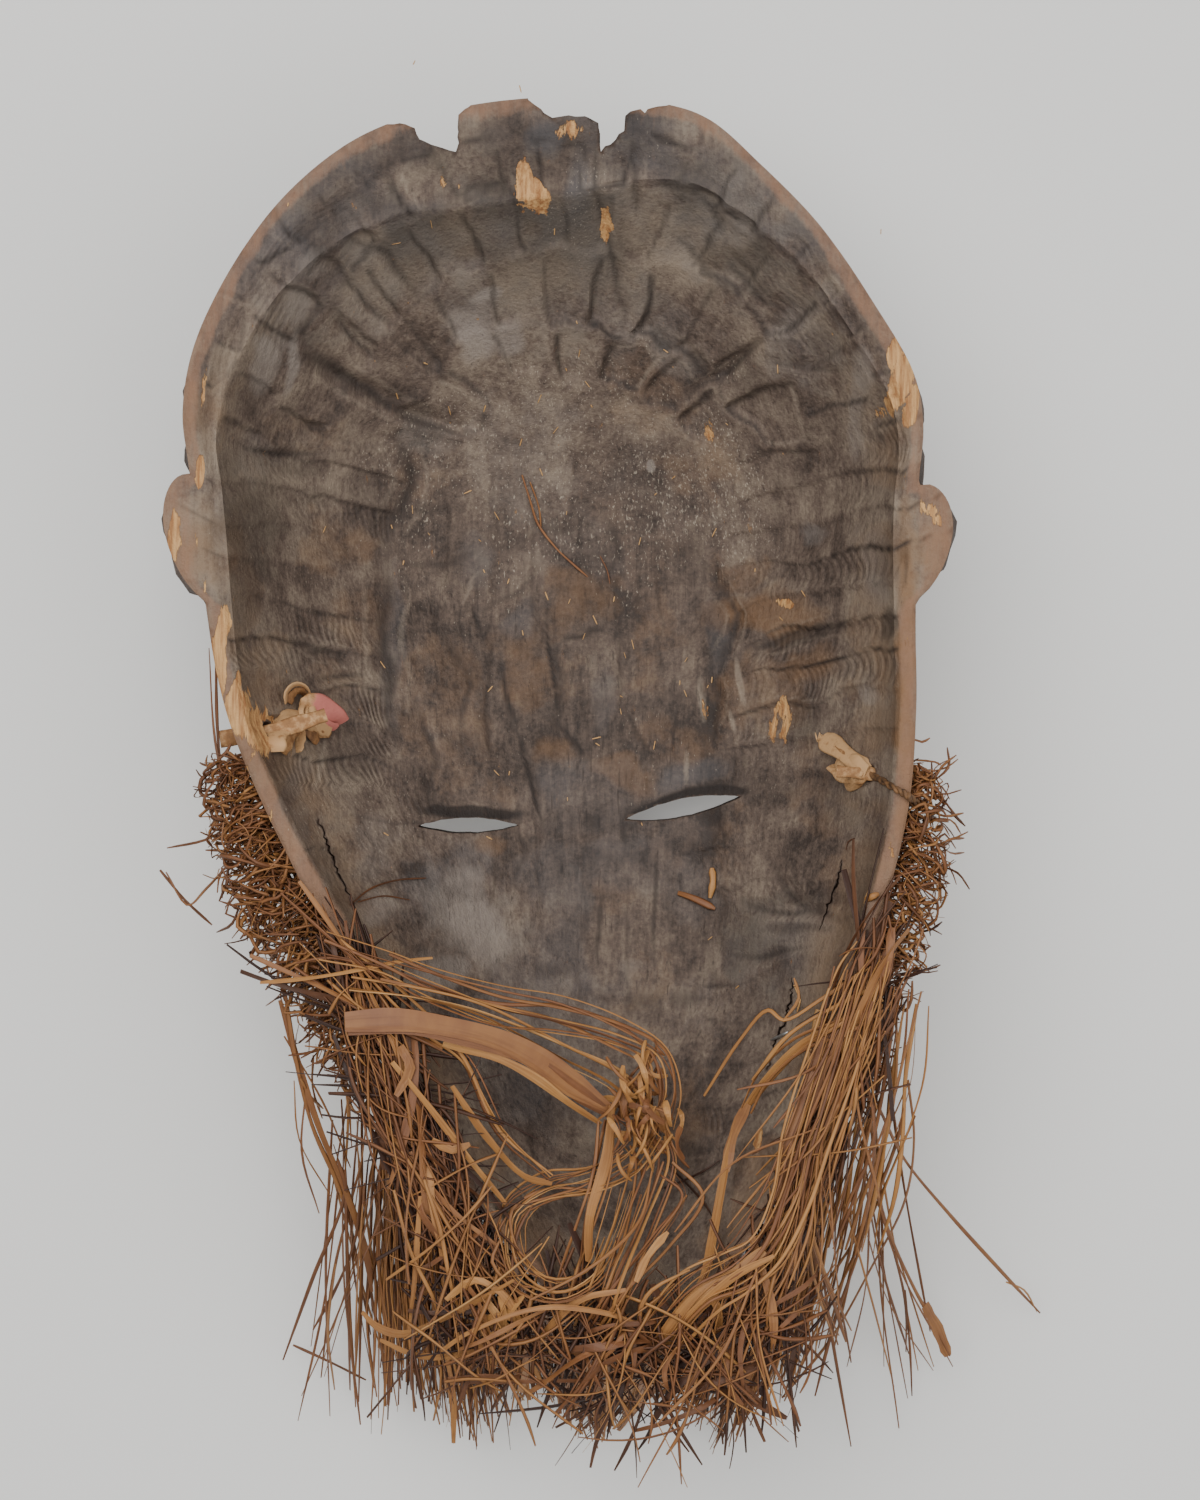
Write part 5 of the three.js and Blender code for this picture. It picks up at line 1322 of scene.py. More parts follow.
def hankStrands(look, dice):
    # the hanging beard: strands from under the jaw's rim that droop to the table and run out below the chin
    store = newStore(leafStrips)

    def edge(share, t):
        turn = mix(bandStart, bandEnd, mix(look["first"], look["last"], share))
        reach = float(baseRadius(turn)) + 2
        start = np.array([middleX + reach * math.cos(turn), middleY + reach * math.sin(turn)])
        shoulder = start + np.array([math.cos(turn), math.sin(turn) * 0.6]) * 17
        uneven = 7 * math.sin(share * look["count"] * 2.3)
        end = np.array([mix(look["leftEnd"], look["rightEnd"], share), look["end"] + uneven])
        return (1 - t) ** 2 * start + 2 * t * (1 - t) * shoulder + t * t * end

    total = look["count"] * look["strands"]
    for k in range(total):
        share = (k + dice.random()) / total
        lock = math.floor(share * look["count"] + 0.5 * dice.uniform(-1, 1))
        drop = mix(0.68, 0.82, (lock * 0.37) % 1)
        gather = dice.uniform(0.0, 0.5)
        lockMiddle = min(1, max(0, (lock + 0.5) / look["count"]))
        level = dice.random() ** 0.8
        reach = dice.uniform(0.55, 1.0) if dice.random() < 0.45 else dice.uniform(0.86, 1.02)
        first = dice.uniform(0, 0.3) if dice.random() < 0.4 else 0.0
        wander = [dice.uniform(-1, 1) * 0.016 for _ in range(8)]
        stray = dice.gauss(0, 0.035)
        path = []
        for i in range(8):
            t = mix(first, reach, i / 7)
            here = mix(share, lockMiddle, gather * t) + wander[i] * (0.4 + t)
            here = min(1.07, max(-0.07, here + stray * t))
            x, y = edge(here, t)
            top = floorLevel + 83 * (1 - drop * t ** 1.2) + 3
            bottom = mix(-24, floorLevel, float(smoothStep(0.1, 0.42, t)))
            path.append((x, y, mix(bottom, top, level) + dice.uniform(-2, 2)))
        wide = dice.random()
        halfWidth = 0.22 + 0.36 * wide + (0.5 if wide > 0.96 else 0)
        # painted shade: strands lying lower in the hank are darker
        tone = 0.08 + 0.4 * level ** 2.5 + dice.uniform(-0.08, 0.18)
        addStrand(store, path, halfWidth, (tone - 0.2, tone + 0.1), dice, 5.6, 0.9)
    return store


def matStrands(look, dice):
    # loose fibre lying over the rim, between the two long sides of its plan
    store = newStore(leafStrips)
    left, right = (roundedLine(side, False, 8) for side in look["sides"])
    headings, shares = [flow[:2] for flow in look["flow"]], [flow[2] for flow in look["flow"]]
    for k in range(look["strands"]):
        t, a = dice.random(), dice.random()
        x, y = mix(left[int(t * (len(left) - 1))], right[int(t * (len(right) - 1))], a)
        middle, spread = dice.choices(headings, shares)[0]
        turn = math.radians(dice.gauss(middle, spread))
        length = dice.uniform(*look["length"]) * (0.55 + 0.45 * dice.random())
        level = dice.random()
        z = 0.6 + look["thick"] * level ** 0.9
        bend, wave, phase = dice.gauss(0, look["bend"]), dice.uniform(0.2, 1.2), dice.uniform(0, 6.3)
        path = []
        x, y = x - math.cos(turn) * length / 2, y - math.sin(turn) * length / 2
        for i in range(7):
            s = i / 6
            angle = turn + bend * (s - 0.5)
            aside = wave * math.sin(phase + s * 5)
            path.append((x - aside * math.sin(angle), y + aside * math.cos(angle),
                         z - look["sag"] * (2 * s - 1) ** 2 + dice.uniform(-0.5, 0.5)))
            x += math.cos(angle) * length / 6
            y += math.sin(angle) * length / 6
        wide = dice.random()
        halfWidth = 0.24 + 0.52 * wide ** 1.7 + (0.45 if wide > 0.96 else 0)
        # painted shade: strands lying lower in the mat are darker
        tone = look["tone"] + 0.6 * level ** 2.2 + 0.24 * dice.random()
        addStrand(store, path, halfWidth, tone, dice, 4.2, 0.8)
    return store


def joined(*stores):
    whole = newStore()
    for store in stores:
        start = len(whole["points"])
        whole["edges"].extend((a + start, b + start) for a, b in store["edges"])
        for key in ("points", *strandValues):
            whole[key].extend(store[key])
    return whole


def shown(*places):
    return [seen(*p) for p in places]


# The strands that cross the hollow: picture places with a height in mm, then how many, their gap, half-width
# and tone
overHollow = [
    ([(322, 948, 8), (385, 966, 8.5), (430, 984, 7), (500, 1005, 3), (560, 1015, -1), (620, 1035, -4),
      (655, 1058, -6), (664, 1092, -7), (655, 1125, -9)], 9, 1.1, 0.36, 0.52),
    ([(350, 985, 9), (420, 998, 8), (480, 1012, 5), (560, 1050, -2), (622, 1084, -7), (640, 1120, -9)], 4,
     1.0, 0.5, 0.78),
    ([(283, 890, 4), (340, 940, 8), (385, 985, 8), (430, 1030, 5), (462, 1062, 2), (500, 1130, 0),
      (552, 1176, 0)], 4, 0.9, 0.42, 0.62),
]
leafPlaces = [
    (345, 1022, 9), (400, 1020, 9.5), (450, 1027, 7), (500, 1040, 3.5), (540, 1060, 0), (575, 1086, -4),
    (608, 1108, -7),
]
loopPlaces = [
    (652, 1130, -8), (628, 1160, -7), (590, 1180, -5), (548, 1190, -3), (516, 1212, -1), (509, 1245, 2),
    (520, 1276, 7), (556, 1292, 11), (592, 1276, 9), (612, 1240, 2), (628, 1190, -5),
]
fromKnot = [
    (loopPlaces, 9, 0.9, 0.42, 0.7),
    (loopPlaces[1:8], 5, 1.8, 0.35, 0.45),
    ([(650, 1140, -9), (655, 1160, -8), (640, 1220, -1), (615, 1290, 10), (596, 1345, -4), (590, 1390, -30)],
     9, 1.2, 0.4, 0.52),
    ([(668, 1165, -8), (690, 1195, -4), (662, 1240, 2), (625, 1292, 11), (600, 1330, 4), (560, 1385, -30)],
     5, 1.3, 0.4, 0.5),
    ([(606, 1120, -8), (600, 1170, -6), (586, 1225, -2), (574, 1268, 6), (560, 1310, 8)], 5, 1.2, 0.5, 0.58),
]


def lay(store, bundles, dice):
    for places, count, gap, halfWidth, tone in bundles:
        spreadBundle(store, shown(*places), count, gap, halfWidth, tone, dice)


def lashingStrands(dice):
    # the strands that cross the hollow: from the left rim to a wound knot, a loop, and down over the chin
    store = newStore(leafStrips)
    lay(store, overHollow, dice)
    leaf = np.asarray(shown(*leafPlaces))
    for path, halfWidth, tone, roll in ((leaf, 3.2, 0.42, 0.3), (leaf + (0.8, -2.0, -0.8), 2.4, 0.34, 0.4),
                                        (leaf[2:] + (-2, -4.6, -1.2), 1.3, 0.66, 0.4)):
        addStrand(store, path, halfWidth, tone, dice, 2.4, roll)
    for k in range(96):  # the wound knot
        u, v = dice.gauss(641, 15), dice.gauss(1112, 26)
        turn = math.radians(dice.gauss(78, 34))
        length = dice.uniform(16, 46)
        bend = dice.uniform(-0.45, 0.45)
        z = dice.uniform(-13, -2)
        path = []
        for i in range(5):
            s = (i / 4 - 0.5) * length
            a = turn + bend * (i / 4 - 0.5) * 2
            path.append(seen(u + s * math.cos(a), v + s * math.sin(a), z + 2.5 * math.cos((i / 4 - 0.5) * 3)))
        addStrand(store, path, dice.uniform(0.3, 1.0), dice.uniform(0.25, 0.75), dice, 2.6, 0.8)
    lay(store, fromKnot, dice)
    return store


rightRim = [
    (872, 950, 3), (858, 975, 5), (832, 1060, 6), (806, 1140, 7), (790, 1200, 8), (764, 1250, 10),
    (735, 1272, 11), (700, 1292, 11), (655, 1345, 2), (618, 1398, -30),
]
besideRim = [
    ([(886, 985, 2), (872, 1060, -1), (856, 1130, -4), (838, 1190, -9), (820, 1245, -18)], 12, 1.5, 0.44,
     0.5),
    ([(892, 1000, -2), (880, 1070, -5), (868, 1130, -9), (856, 1190, -16), (846, 1250, -28)], 12, 1.7, 0.44,
     0.5),
    ([(868, 1000, 5), (850, 1060, 5), (828, 1120, 5), (806, 1200, 2), (812, 1270, -14), (838, 1336, -40)], 5,
     1.2, 0.44, 0.5),
]
stemPlaces = [
    (882, 998, 4), (840, 1024, 5), (800, 1045, 2), (765, 1080, -4), (745, 1110, -9), (729, 1150, -11),
    (722, 1185, -8), (712, 1240, 0), (704, 1276, 8), (690, 1300, 9),
]
# The forked stem's parts: picture places with a height in mm, then half-width, tone and step
forkStrands = [
    ([(748, 1104, -8), (736, 1128, -10), (729, 1152, -11), (727, 1172, -10)], 1.45, 0.5, 2.2),
    ([(868, 968, 4), (820, 1000, 3), (784, 1020, 0), (768, 1010, -2), (740, 1040, -7), (704, 1096, -14)],
     0.6, 0.62, 2.6),
    ([(784, 1020, 0), (799, 998, 1), (794, 978, 2)], 0.45, 0.55, 2.6),
    ([(880, 985, 4), (838, 1005, 5), (790, 1034, 2), (752, 1080, -4)], 0.6, 0.66, 2.6),
]


def rightStrands(dice):
    # the bundle that follows the right rim and ends below the chin, with the forked stem and single strands
    store = newStore(leafStrips)
    rim, stem = shown(*rightRim), shown(*stemPlaces)
    spreadBundle(store, rim, 14, 1.0, 0.42, 0.55, dice)
    addStrand(store, rim[5:], 1.5, 0.62, dice, 3, 0.3)
    lay(store, besideRim, dice)
    addStrand(store, stem, 1.15, 0.66, dice, 2.6, 0.3)
    spreadBundle(store, stem[:5], 3, 1.2, 0.5, 0.7, dice)
    for places, halfWidth, tone, step in forkStrands:
        addStrand(store, shown(*places), halfWidth, tone, dice, step, 0.3)
    for k in range(56):
        t = dice.random()
        i = int(t * 6)
        aside = (dice.uniform(-3, 7), dice.uniform(-3, 3), dice.uniform(-5, 1))
        here = mix(np.asarray(rim[i]), np.asarray(rim[i + 1]), t * 6 - i) + aside
        turn = math.radians(dice.gauss(-108, 15))
        length = dice.uniform(20, 66)
        middle = here + towards(turn) * length / 2 + (0, 0, dice.uniform(0, 2))
        bend = turn + dice.uniform(-0.5, 0.5)
        end = middle + towards(bend) * length / 2 + (0, 0, dice.uniform(-3, 1))
        addStrand(store, [here, middle, end], dice.uniform(0.2, 0.5), dice.uniform(0.25, 0.6), dice, 3.2, 0.8)
    return store


# Single strands that stand out: picture places with a height in mm, then half-width and tone
strayStrands = [
    ([(280, 1000, -8), (300, 1070, -14), (320, 1130, -20), (345, 1190, -30), (365, 1250, -42),
      (372, 1292, -52)], 0.9, 0.42),
    ([(284, 985, -8), (296, 1060, -12), (312, 1125, -20), (338, 1185, -30), (350, 1225, -40)], 0.6, 0.5),
    ([(338, 1160, -24), (345, 1190, -30), (312, 1280, -52), (283, 1360, -74)], 0.55, 0.34),
    ([(345, 1170, -26), (348, 1290, -52), (350, 1390, -78)], 0.6, 0.34),
    ([(362, 1180, -24), (355, 1240, -40), (335, 1290, -56), (313, 1330, -66)], 0.5, 0.34),
    ([(293, 1345, -80), (330, 1362, -80), (366, 1380, -80)], 0.4, 0.3),
    ([(222, 790, -10), (217, 720, -12), (216, 650, -9)], 0.45, 0.34),
    ([(228, 800, -8), (215, 740, -10), (209, 648, -6)], 0.35, 0.34),
    ([(226, 828, -12), (205, 840, -18), (167, 848, -24)], 0.35, 0.3),
    ([(232, 860, -12), (205, 890, -24), (187, 905, -30), (166, 872, -32)], 0.4, 0.4),
    ([(160, 870, -34), (185, 900, -34), (212, 925, -36)], 0.4, 0.3),
    ([(248, 900, -12), (262, 940, -20), (272, 958, -26)], 0.5, 0.36),
    ([(880, 1110, -12), (905, 1160, -30), (950, 1215, -46), (1000, 1270, -64), (1040, 1313, -84)], 0.55, 0.4),
    ([(1006, 1282, -68), (1024, 1290, -74), (1037, 1312, -83)], 0.3, 0.66),
    ([(868, 1100, -10), (872, 1130, -16), (882, 1210, -34), (915, 1290, -56), (938, 1330, -66),
      (950, 1356, -72)], 0.6, 0.4),
    ([(925, 1305, -60), (938, 1330, -66), (948, 1356, -72)], 1.9, 0.5),
    ([(908, 1080, -14), (914, 1140, -26), (905, 1200, -38), (870, 1270, -56), (830, 1340, -70),
      (782, 1398, -80)], 0.5, 0.44),
    ([(905, 1080, -12), (900, 1130, -24), (860, 1230, -44), (815, 1300, -60), (786, 1350, -72)], 0.5, 0.42),
    ([(800, 1200, -8), (818, 1260, -30), (836, 1310, -52), (846, 1342, -64)], 0.5, 0.4),
    ([(830, 1130, -8), (812, 1200, -24), (818, 1280, -48), (838, 1345, -70)], 0.5, 0.36),
    ([(882, 1210, -34), (905, 1300, -58), (906, 1352, -74)], 0.4, 0.3),
    ([(905, 1290, -60), (910, 1350, -74), (912, 1396, -82)], 0.35, 0.3),
    ([(885, 1130, -18), (862, 1240, -40), (835, 1320, -62), (815, 1396, -80)], 0.5, 0.36),
    ([(915, 760, -10), (935, 762, -12), (941, 765, -12)], 0.3, 0.5),
    ([(905, 735, -6), (922, 742, -8), (930, 738, -8)], 0.35, 0.4),
    ([(910, 870, -12), (932, 918, -20), (936, 928, -22)], 0.3, 0.3),
    ([(362, 1312, -12), (376, 1326, -10), (402, 1334, -4), (436, 1322, 2), (474, 1303, 8), (514, 1280, 12)],
     1.1, 0.6),
    ([(470, 1340, -2), (500, 1318, 6), (524, 1296, 10)], 1.3, 0.7),
    ([(486, 1300, 8), (500, 1320, 7), (516, 1338, 4)], 1.2, 0.74),
    ([(480, 1322, 5), (502, 1316, 8), (526, 1320, 5)], 1.1, 0.7),
    ([(500, 1296, 9), (504, 1316, 8), (498, 1340, 3)], 1.0, 0.72),
    ([(392, 1062, 8), (430, 1108, 7), (470, 1160, 5), (506, 1204, 3)], 0.98, 0.66),
    ([(452, 1086, 6), (486, 1136, 3), (524, 1176, 1), (552, 1184, 0)], 1.1, 0.62),
    ([(400, 1046, 8), (410, 1068, 8), (396, 1096, 8)], 1.4, 0.5),
    ([(432, 1140, 6), (452, 1150, 6), (470, 1144, 6)], 1.2, 0.6),
    ([(612, 1106, -6), (606, 1160, -5), (590, 1216, -2), (588, 1262, 6)], 1.5, 0.62),
    ([(500, 1330, 8), (470, 1352, 4), (420, 1356, 0), (380, 1340, -6)], 1.0, 0.6),
    ([(619, 1402, -26), (650, 1362, -2), (690, 1316, 9), (735, 1276, 12), (774, 1256, 11)], 1.4, 0.66),
    ([(386, 1280, 2), (425, 1252, 8), (462, 1220, 9), (492, 1186, 8)], 0.42, 0.56),
    ([(530, 1300, 12), (580, 1274, 12), (620, 1244, 8), (642, 1215, 2), (652, 1170, -4)], 0.5, 0.5),
    ([(636, 1282, 11), (648, 1256, 9), (668, 1232, 6)], 1.0, 0.68),
    ([(440, 1352, 4), (470, 1332, 8), (540, 1308, 12), (600, 1312, 10), (640, 1324, 6)], 0.7, 0.56),
    ([(424, 1180, 8), (440, 1230, 8), (452, 1290, 6), (462, 1316, 2)], 0.6, 0.62),
    ([(394, 1190, 6), (410, 1250, 5), (438, 1310, 2), (446, 1392, -24)], 0.6, 0.6),
    ([(420, 1196, 7), (416, 1260, 4), (410, 1330, -2)], 0.75, 0.56),
    ([(500, 1240, 6), (492, 1262, 8), (512, 1290, 10), (520, 1312, 8)], 0.5, 0.5),
    ([(642, 1340, 4), (640, 1310, 9), (652, 1290, 11), (690, 1270, 11)], 0.6, 0.6),
    ([(560, 1360, 0), (590, 1352, 4), (640, 1366, -6)], 0.8, 0.46),
    ([(520, 1392, -24), (540, 1340, 2), (580, 1300, 10), (626, 1290, 11)], 1.0, 0.58),
    ([(706, 1288, 11), (718, 1310, 9), (712, 1352, -4), (690, 1384, -16), (662, 1392, -24)], 1.0, 0.62),
    ([(446, 1300, 7), (474, 1280, 9), (500, 1292, 10), (520, 1320, 7)], 1.0, 0.66),
]


# Where single hairs hang clear of the beard: start and end as picture places with a height, then the spread
# across and down of each
hangingHairs = [
    {"count": 20, "from": (348, 1150, -26), "to": (345, 1385, -78), "spread": (22, 50, 34, 26)},
    {"count": 24, "from": (862, 1120, -20), "to": (850, 1365, -78), "spread": (26, 60, 52, 30)},
    {"count": 7, "from": (300, 1040, -16), "to": (330, 1180, -34), "spread": (14, 40, 20, 40)},
]


def strayStore(dice):
    store = newStore(leafStrips)
    for look in hangingHairs:
        acrossA, downA, acrossB, downB = look["spread"]
        for k in range(look["count"]):
            start = np.array(look["from"]) + (dice.gauss(0, acrossA), dice.gauss(0, downA),
                                              dice.uniform(-5, 5))
            end = np.array(look["to"]) + (dice.gauss(0, acrossB), dice.gauss(0, downB), dice.uniform(-5, 2))
            middle = mix(start, end, 0.5) + (dice.gauss(0, 8), 0, dice.uniform(0, 6))
            halfWidth, tone = dice.uniform(0.22, 0.46), dice.uniform(0.3, 0.62)
            addStrand(store, shown(start, middle, end), halfWidth, tone, dice, 4.5, 0.6)
    for places, halfWidth, tone in strayStrands:
        addStrand(store, shown(*places), halfWidth, tone, dice, 3.0, 0.5)
    return store


# The band that carries the beard, and its shells
bandLook = {
    "depth": 34, "width": 17, "thickness": 2, "gap": 2.4, "columns": 300, "rows": 9, "colour": "#5E4430",
    "thread": 1.5,  # threads drawn 1.5 mm apart, coarser than real ones, so that they show
}
shellLook = {
    "length": 19, "width": 13, "height": 7.7, "tooth": 1.45, "count": 23, "lift": 1.6,
    "cream": "#E2D3B4", "warm": "#B08A5C", "slit": "#5A4029",
}


def jawPlace(along, depth, proud):
    # a place on the face side of the jaw: share of the band's run, depth below the rim, height off the wood
    turn = mix(bandStart, bandEnd, np.asarray(along, float))
    low, high = np.full(turn.shape, 0.3), np.ones(turn.shape)
    for _ in range(26):
        middle = (low + high) / 2
        deeper = -bareOutside(middle, turn)[..., 2] > depth
        low = np.where(deeper, middle, low)
        high = np.where(deeper, high, middle)
    return outside(low, turn, proud)


def bandShares(count):
    # shares of the band's run that are evenly spaced in real length
    shares = np.linspace(0, 1, 241)
    places = jawPlace(shares, np.full(241, float(bandLook["depth"])), 0.0)
    lengths = np.concatenate([[0], np.cumsum(np.linalg.norm(np.diff(places, axis=0), axis=1))])
    return np.interp(np.arange(count) / (count - 1) * lengths[-1], lengths, shares), lengths[-1]


def makeCloth():
    # narrow strip of handwoven cotton, dull and dirty: plain weave, threads dark between
    material, tree, shader = newFinish("handwovenCottonStrip", {"Roughness": 0.92, "Specular IOR Level": 0.2})
    waves = []
    for name in ("along", "across"):
        source = addNode(tree, "ShaderNodeAttribute", {"attribute_name": name}).outputs["Fac"]
        turns = addNode(tree, "ShaderNodeMath",
                        {"operation": "MULTIPLY", 1: 2000 * math.pi / bandLook["thread"]},
                        {0: source})
        waves.append(addNode(tree, "ShaderNodeMath", {"operation": "SINE"}, {0: turns}))
    woven = addNode(tree, "ShaderNodeMath", {"operation": "MULTIPLY"}, {0: waves[0], 1: waves[1]})
    place = addNode(tree, "ShaderNodeTexCoord").outputs["Object"]
    dirt = addNode(tree, "ShaderNodeTexNoise", {"Scale": 120.0, "Detail": 5.0, "Roughness": 0.65},
                   {"Vector": place})
    base = linear(bandLook["colour"])[:3]
    dirty, clean, shaded = ([min(1, c * share) for c in base] + [1] for share in (0.45, 1.7, 0.2))
    tone = addNode(tree, "ShaderNodeMix", {"data_type": "RGBA", 6: dirty, 7: clean}, {0: dirt})
    gaps = addNode(tree, "ShaderNodeMapRange", {"From Min": 0.1, "From Max": -1.0, "To Max": 0.6},
                   {"Value": woven})
    darker = addNode(tree, "ShaderNodeMix", {"data_type": "RGBA", 7: shaded}, {0: gaps, 6: tone})
    bump = addNode(tree, "ShaderNodeBump", {"Strength": 0.7, "Distance": 0.0004}, {"Height": woven})
    wire(shader, {"Base Color": darker, "Normal": bump})
    return material


def makeBand():
    columns, rows = bandLook["columns"], bandLook["rows"]
    steps = np.arange(columns)
    shares, length = bandShares(columns)
    points, along, across, rings = [], [], [], []
    for side in (1, -1):
        for r in (range(rows) if side == 1 else reversed(range(rows))):
            b = r / (rows - 1) * 2 - 1
            proud = bandLook["gap"] + (bandLook["thickness"] if side == 1 else 0)
            wave = 0.3 * np.sin(steps * 0.31) * abs(b) + 0.25 * layered(steps / 4.0, b * 2, 1.0, 2, 5)
            depth = bandLook["depth"] + b * bandLook["width"] / 2 + wave * (abs(b) > 0.8)
            rings.append(range(len(points), len(points) + columns))
            points.extend(jawPlace(shares, depth, proud - 0.25 * abs(b) ** 3 * side))
            along.extend(steps / (columns - 1) * length / 1000)
            across.extend([b * bandLook["width"] / 2000] * columns)
    faces = []
    for a, b in zip(rings, rings[1:] + rings[:1]):
        faces += [(a[k], a[k + 1], b[k + 1], b[k]) for k in range(columns - 1)]
    for k, flip in ((0, False), (columns - 1, True)):
        cap = [ring[k] for ring in rings]
        faces.append(tuple(cap[::-1] if flip else cap))
    values = {"along": along, "across": across}
    piece = addPiece("beardBand", placed(points), faces, values=values, material=makeCloth())
    cleaned(piece.data)
    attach(piece, "root")
    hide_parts("beard_band")


def makeShellFinish():
    # cowrie: glazed porcelain-like shell, cream, warmer at its edge, dark in the slit between the teeth
    material, tree, shader = newFinish("glossyCowrieShell",
                                       {"Roughness": 0.28, "Coat Weight": 0.25, "Coat Roughness": 0.12})
    look = {key: linear(shellLook[key]) for key in ("cream", "warm", "slit")}
    place = addNode(tree, "ShaderNodeTexCoord").outputs["Object"]
    cloud = addNode(tree, "ShaderNodeTexNoise", {"Scale": 220.0, "Detail": 3.0}, {"Vector": place})
    shade, slit, rise = (addNode(tree, "ShaderNodeAttribute", {"attribute_name": name}).outputs["Fac"]
                         for name in ("shade", "slit", "rise"))
    mixed = addNode(tree, "ShaderNodeMath", {"operation": "MULTIPLY_ADD", 1: 0.6}, {0: cloud, 2: shade})
    low = addNode(tree, "ShaderNodeMapRange", {"From Min": 0.75, "From Max": 0.0, "To Max": 0.7},
                  {"Value": rise})
    warm = addNode(tree, "ShaderNodeMath", {"operation": "MULTIPLY"}, {0: mixed, 1: low})
    body = addNode(tree, "ShaderNodeMix", {"data_type": "RGBA", 6: look["cream"], 7: look["warm"]}, {0: warm})
    whole = addNode(tree, "ShaderNodeMix", {"data_type": "RGBA", 7: look["slit"]}, {0: slit, 6: body})
    wire(shader, {"Base Color": whole})
    return material


def cowrieTemplate():
    # one shell, slit side up and flat behind; its long axis is Y
    turns = [math.pi / 2 - math.copysign(abs(t) ** 1.7, t) * math.pi / 2 for t in np.linspace(1, -1, 27)]
    turns += [math.pi + math.pi * k / 8 for k in range(1, 8)]
    rows = 24
    waist = 1.7  # height of the widest girth, mm
    points, slits, rises = [], [], []
    for r in range(1, rows):
        phi = math.pi * r / rows
        y = -math.cos(phi) * shellLook["length"] / 2
        girth = math.sin(phi) ** 0.72
        half = shellLook["width"] / 2 * girth * (1 - 0.25 * y / shellLook["length"])
        for a in turns:
            x = half * math.cos(a)
            up = math.sin(a)
            z = waist + (shellLook["height"] - waist) * girth ** 0.9 * max(0, up) ** 0.85
            z += waist * min(0, up) * girth
            slit = bell(x / 0.55) * (up > 0) * (1 - smoothStep(0.8, 1.0, abs(y) / shellLook["length"] * 2.1))
            lips = bell((abs(x) - 1.7) / 0.9) * (up > 0)
            teeth = 0.5 + 0.5 * math.cos(2 * math.pi * y / shellLook["tooth"])
            z += -2.6 * slit * girth + 0.5 * lips + 0.35 * lips * teeth
            points.append((x, y, max(0, z)))
            slits.append(min(1, slit + 0.35 * lips * (1 - teeth)))
            rises.append(z / shellLook["height"])
    count = len(turns)
    faces = []
    for r in range(rows - 2):
        for k in range(count):
            a, b = r * count + k, r * count + (k + 1) % count
            faces.append((a, b, b + count, a + count))
    for y, ring, sign in ((-1, 0, -1), (1, (rows - 2) * count, 1)):
        points.append((0, y * shellLook["length"] / 2, waist))
        slits.append(0.0)
        rises.append(0.3)
        tip = len(points) - 1
        for k in range(count):
            face = (tip, ring + k, ring + (k + 1) % count)
            faces.append(face if sign > 0 else face[::-1])
    made = addPiece("cowrieTemplate", np.array(points) / 1000, faces, values={"slit": slits, "rise": rises})
    cleaned(made.data)
    return made


def shellTree():
    # sets one shell on each point, turned and sized by the point's own values
    tree, given = newTree("sewnShells",
                          {"Places": "Geometry", "Shell": "Object", "Size": "Float", "Finish": "Material"})
    facing, ownSize = (addNode(tree, "GeometryNodeInputNamedAttribute", {"data_type": kind, "Name": name})
                       for kind, name in (("FLOAT_VECTOR", "facing"), ("FLOAT", "size")))
    size = addNode(tree, "ShaderNodeMath", {"operation": "MULTIPLY"}, {0: ownSize, 1: given["Size"]})
    shell = addNode(tree, "GeometryNodeObjectInfo", {"transform_space": "ORIGINAL"},
                    {"Object": given["Shell"]})
    dots = addNode(tree, "GeometryNodeMeshToPoints", None, {"Mesh": given["Places"]})
    sewn = addNode(tree, "GeometryNodeInstanceOnPoints", None,
                   {"Points": dots, "Instance": shell.outputs["Geometry"], "Rotation": facing, "Scale": size})
    return endTree(tree, sewn, given["Finish"])


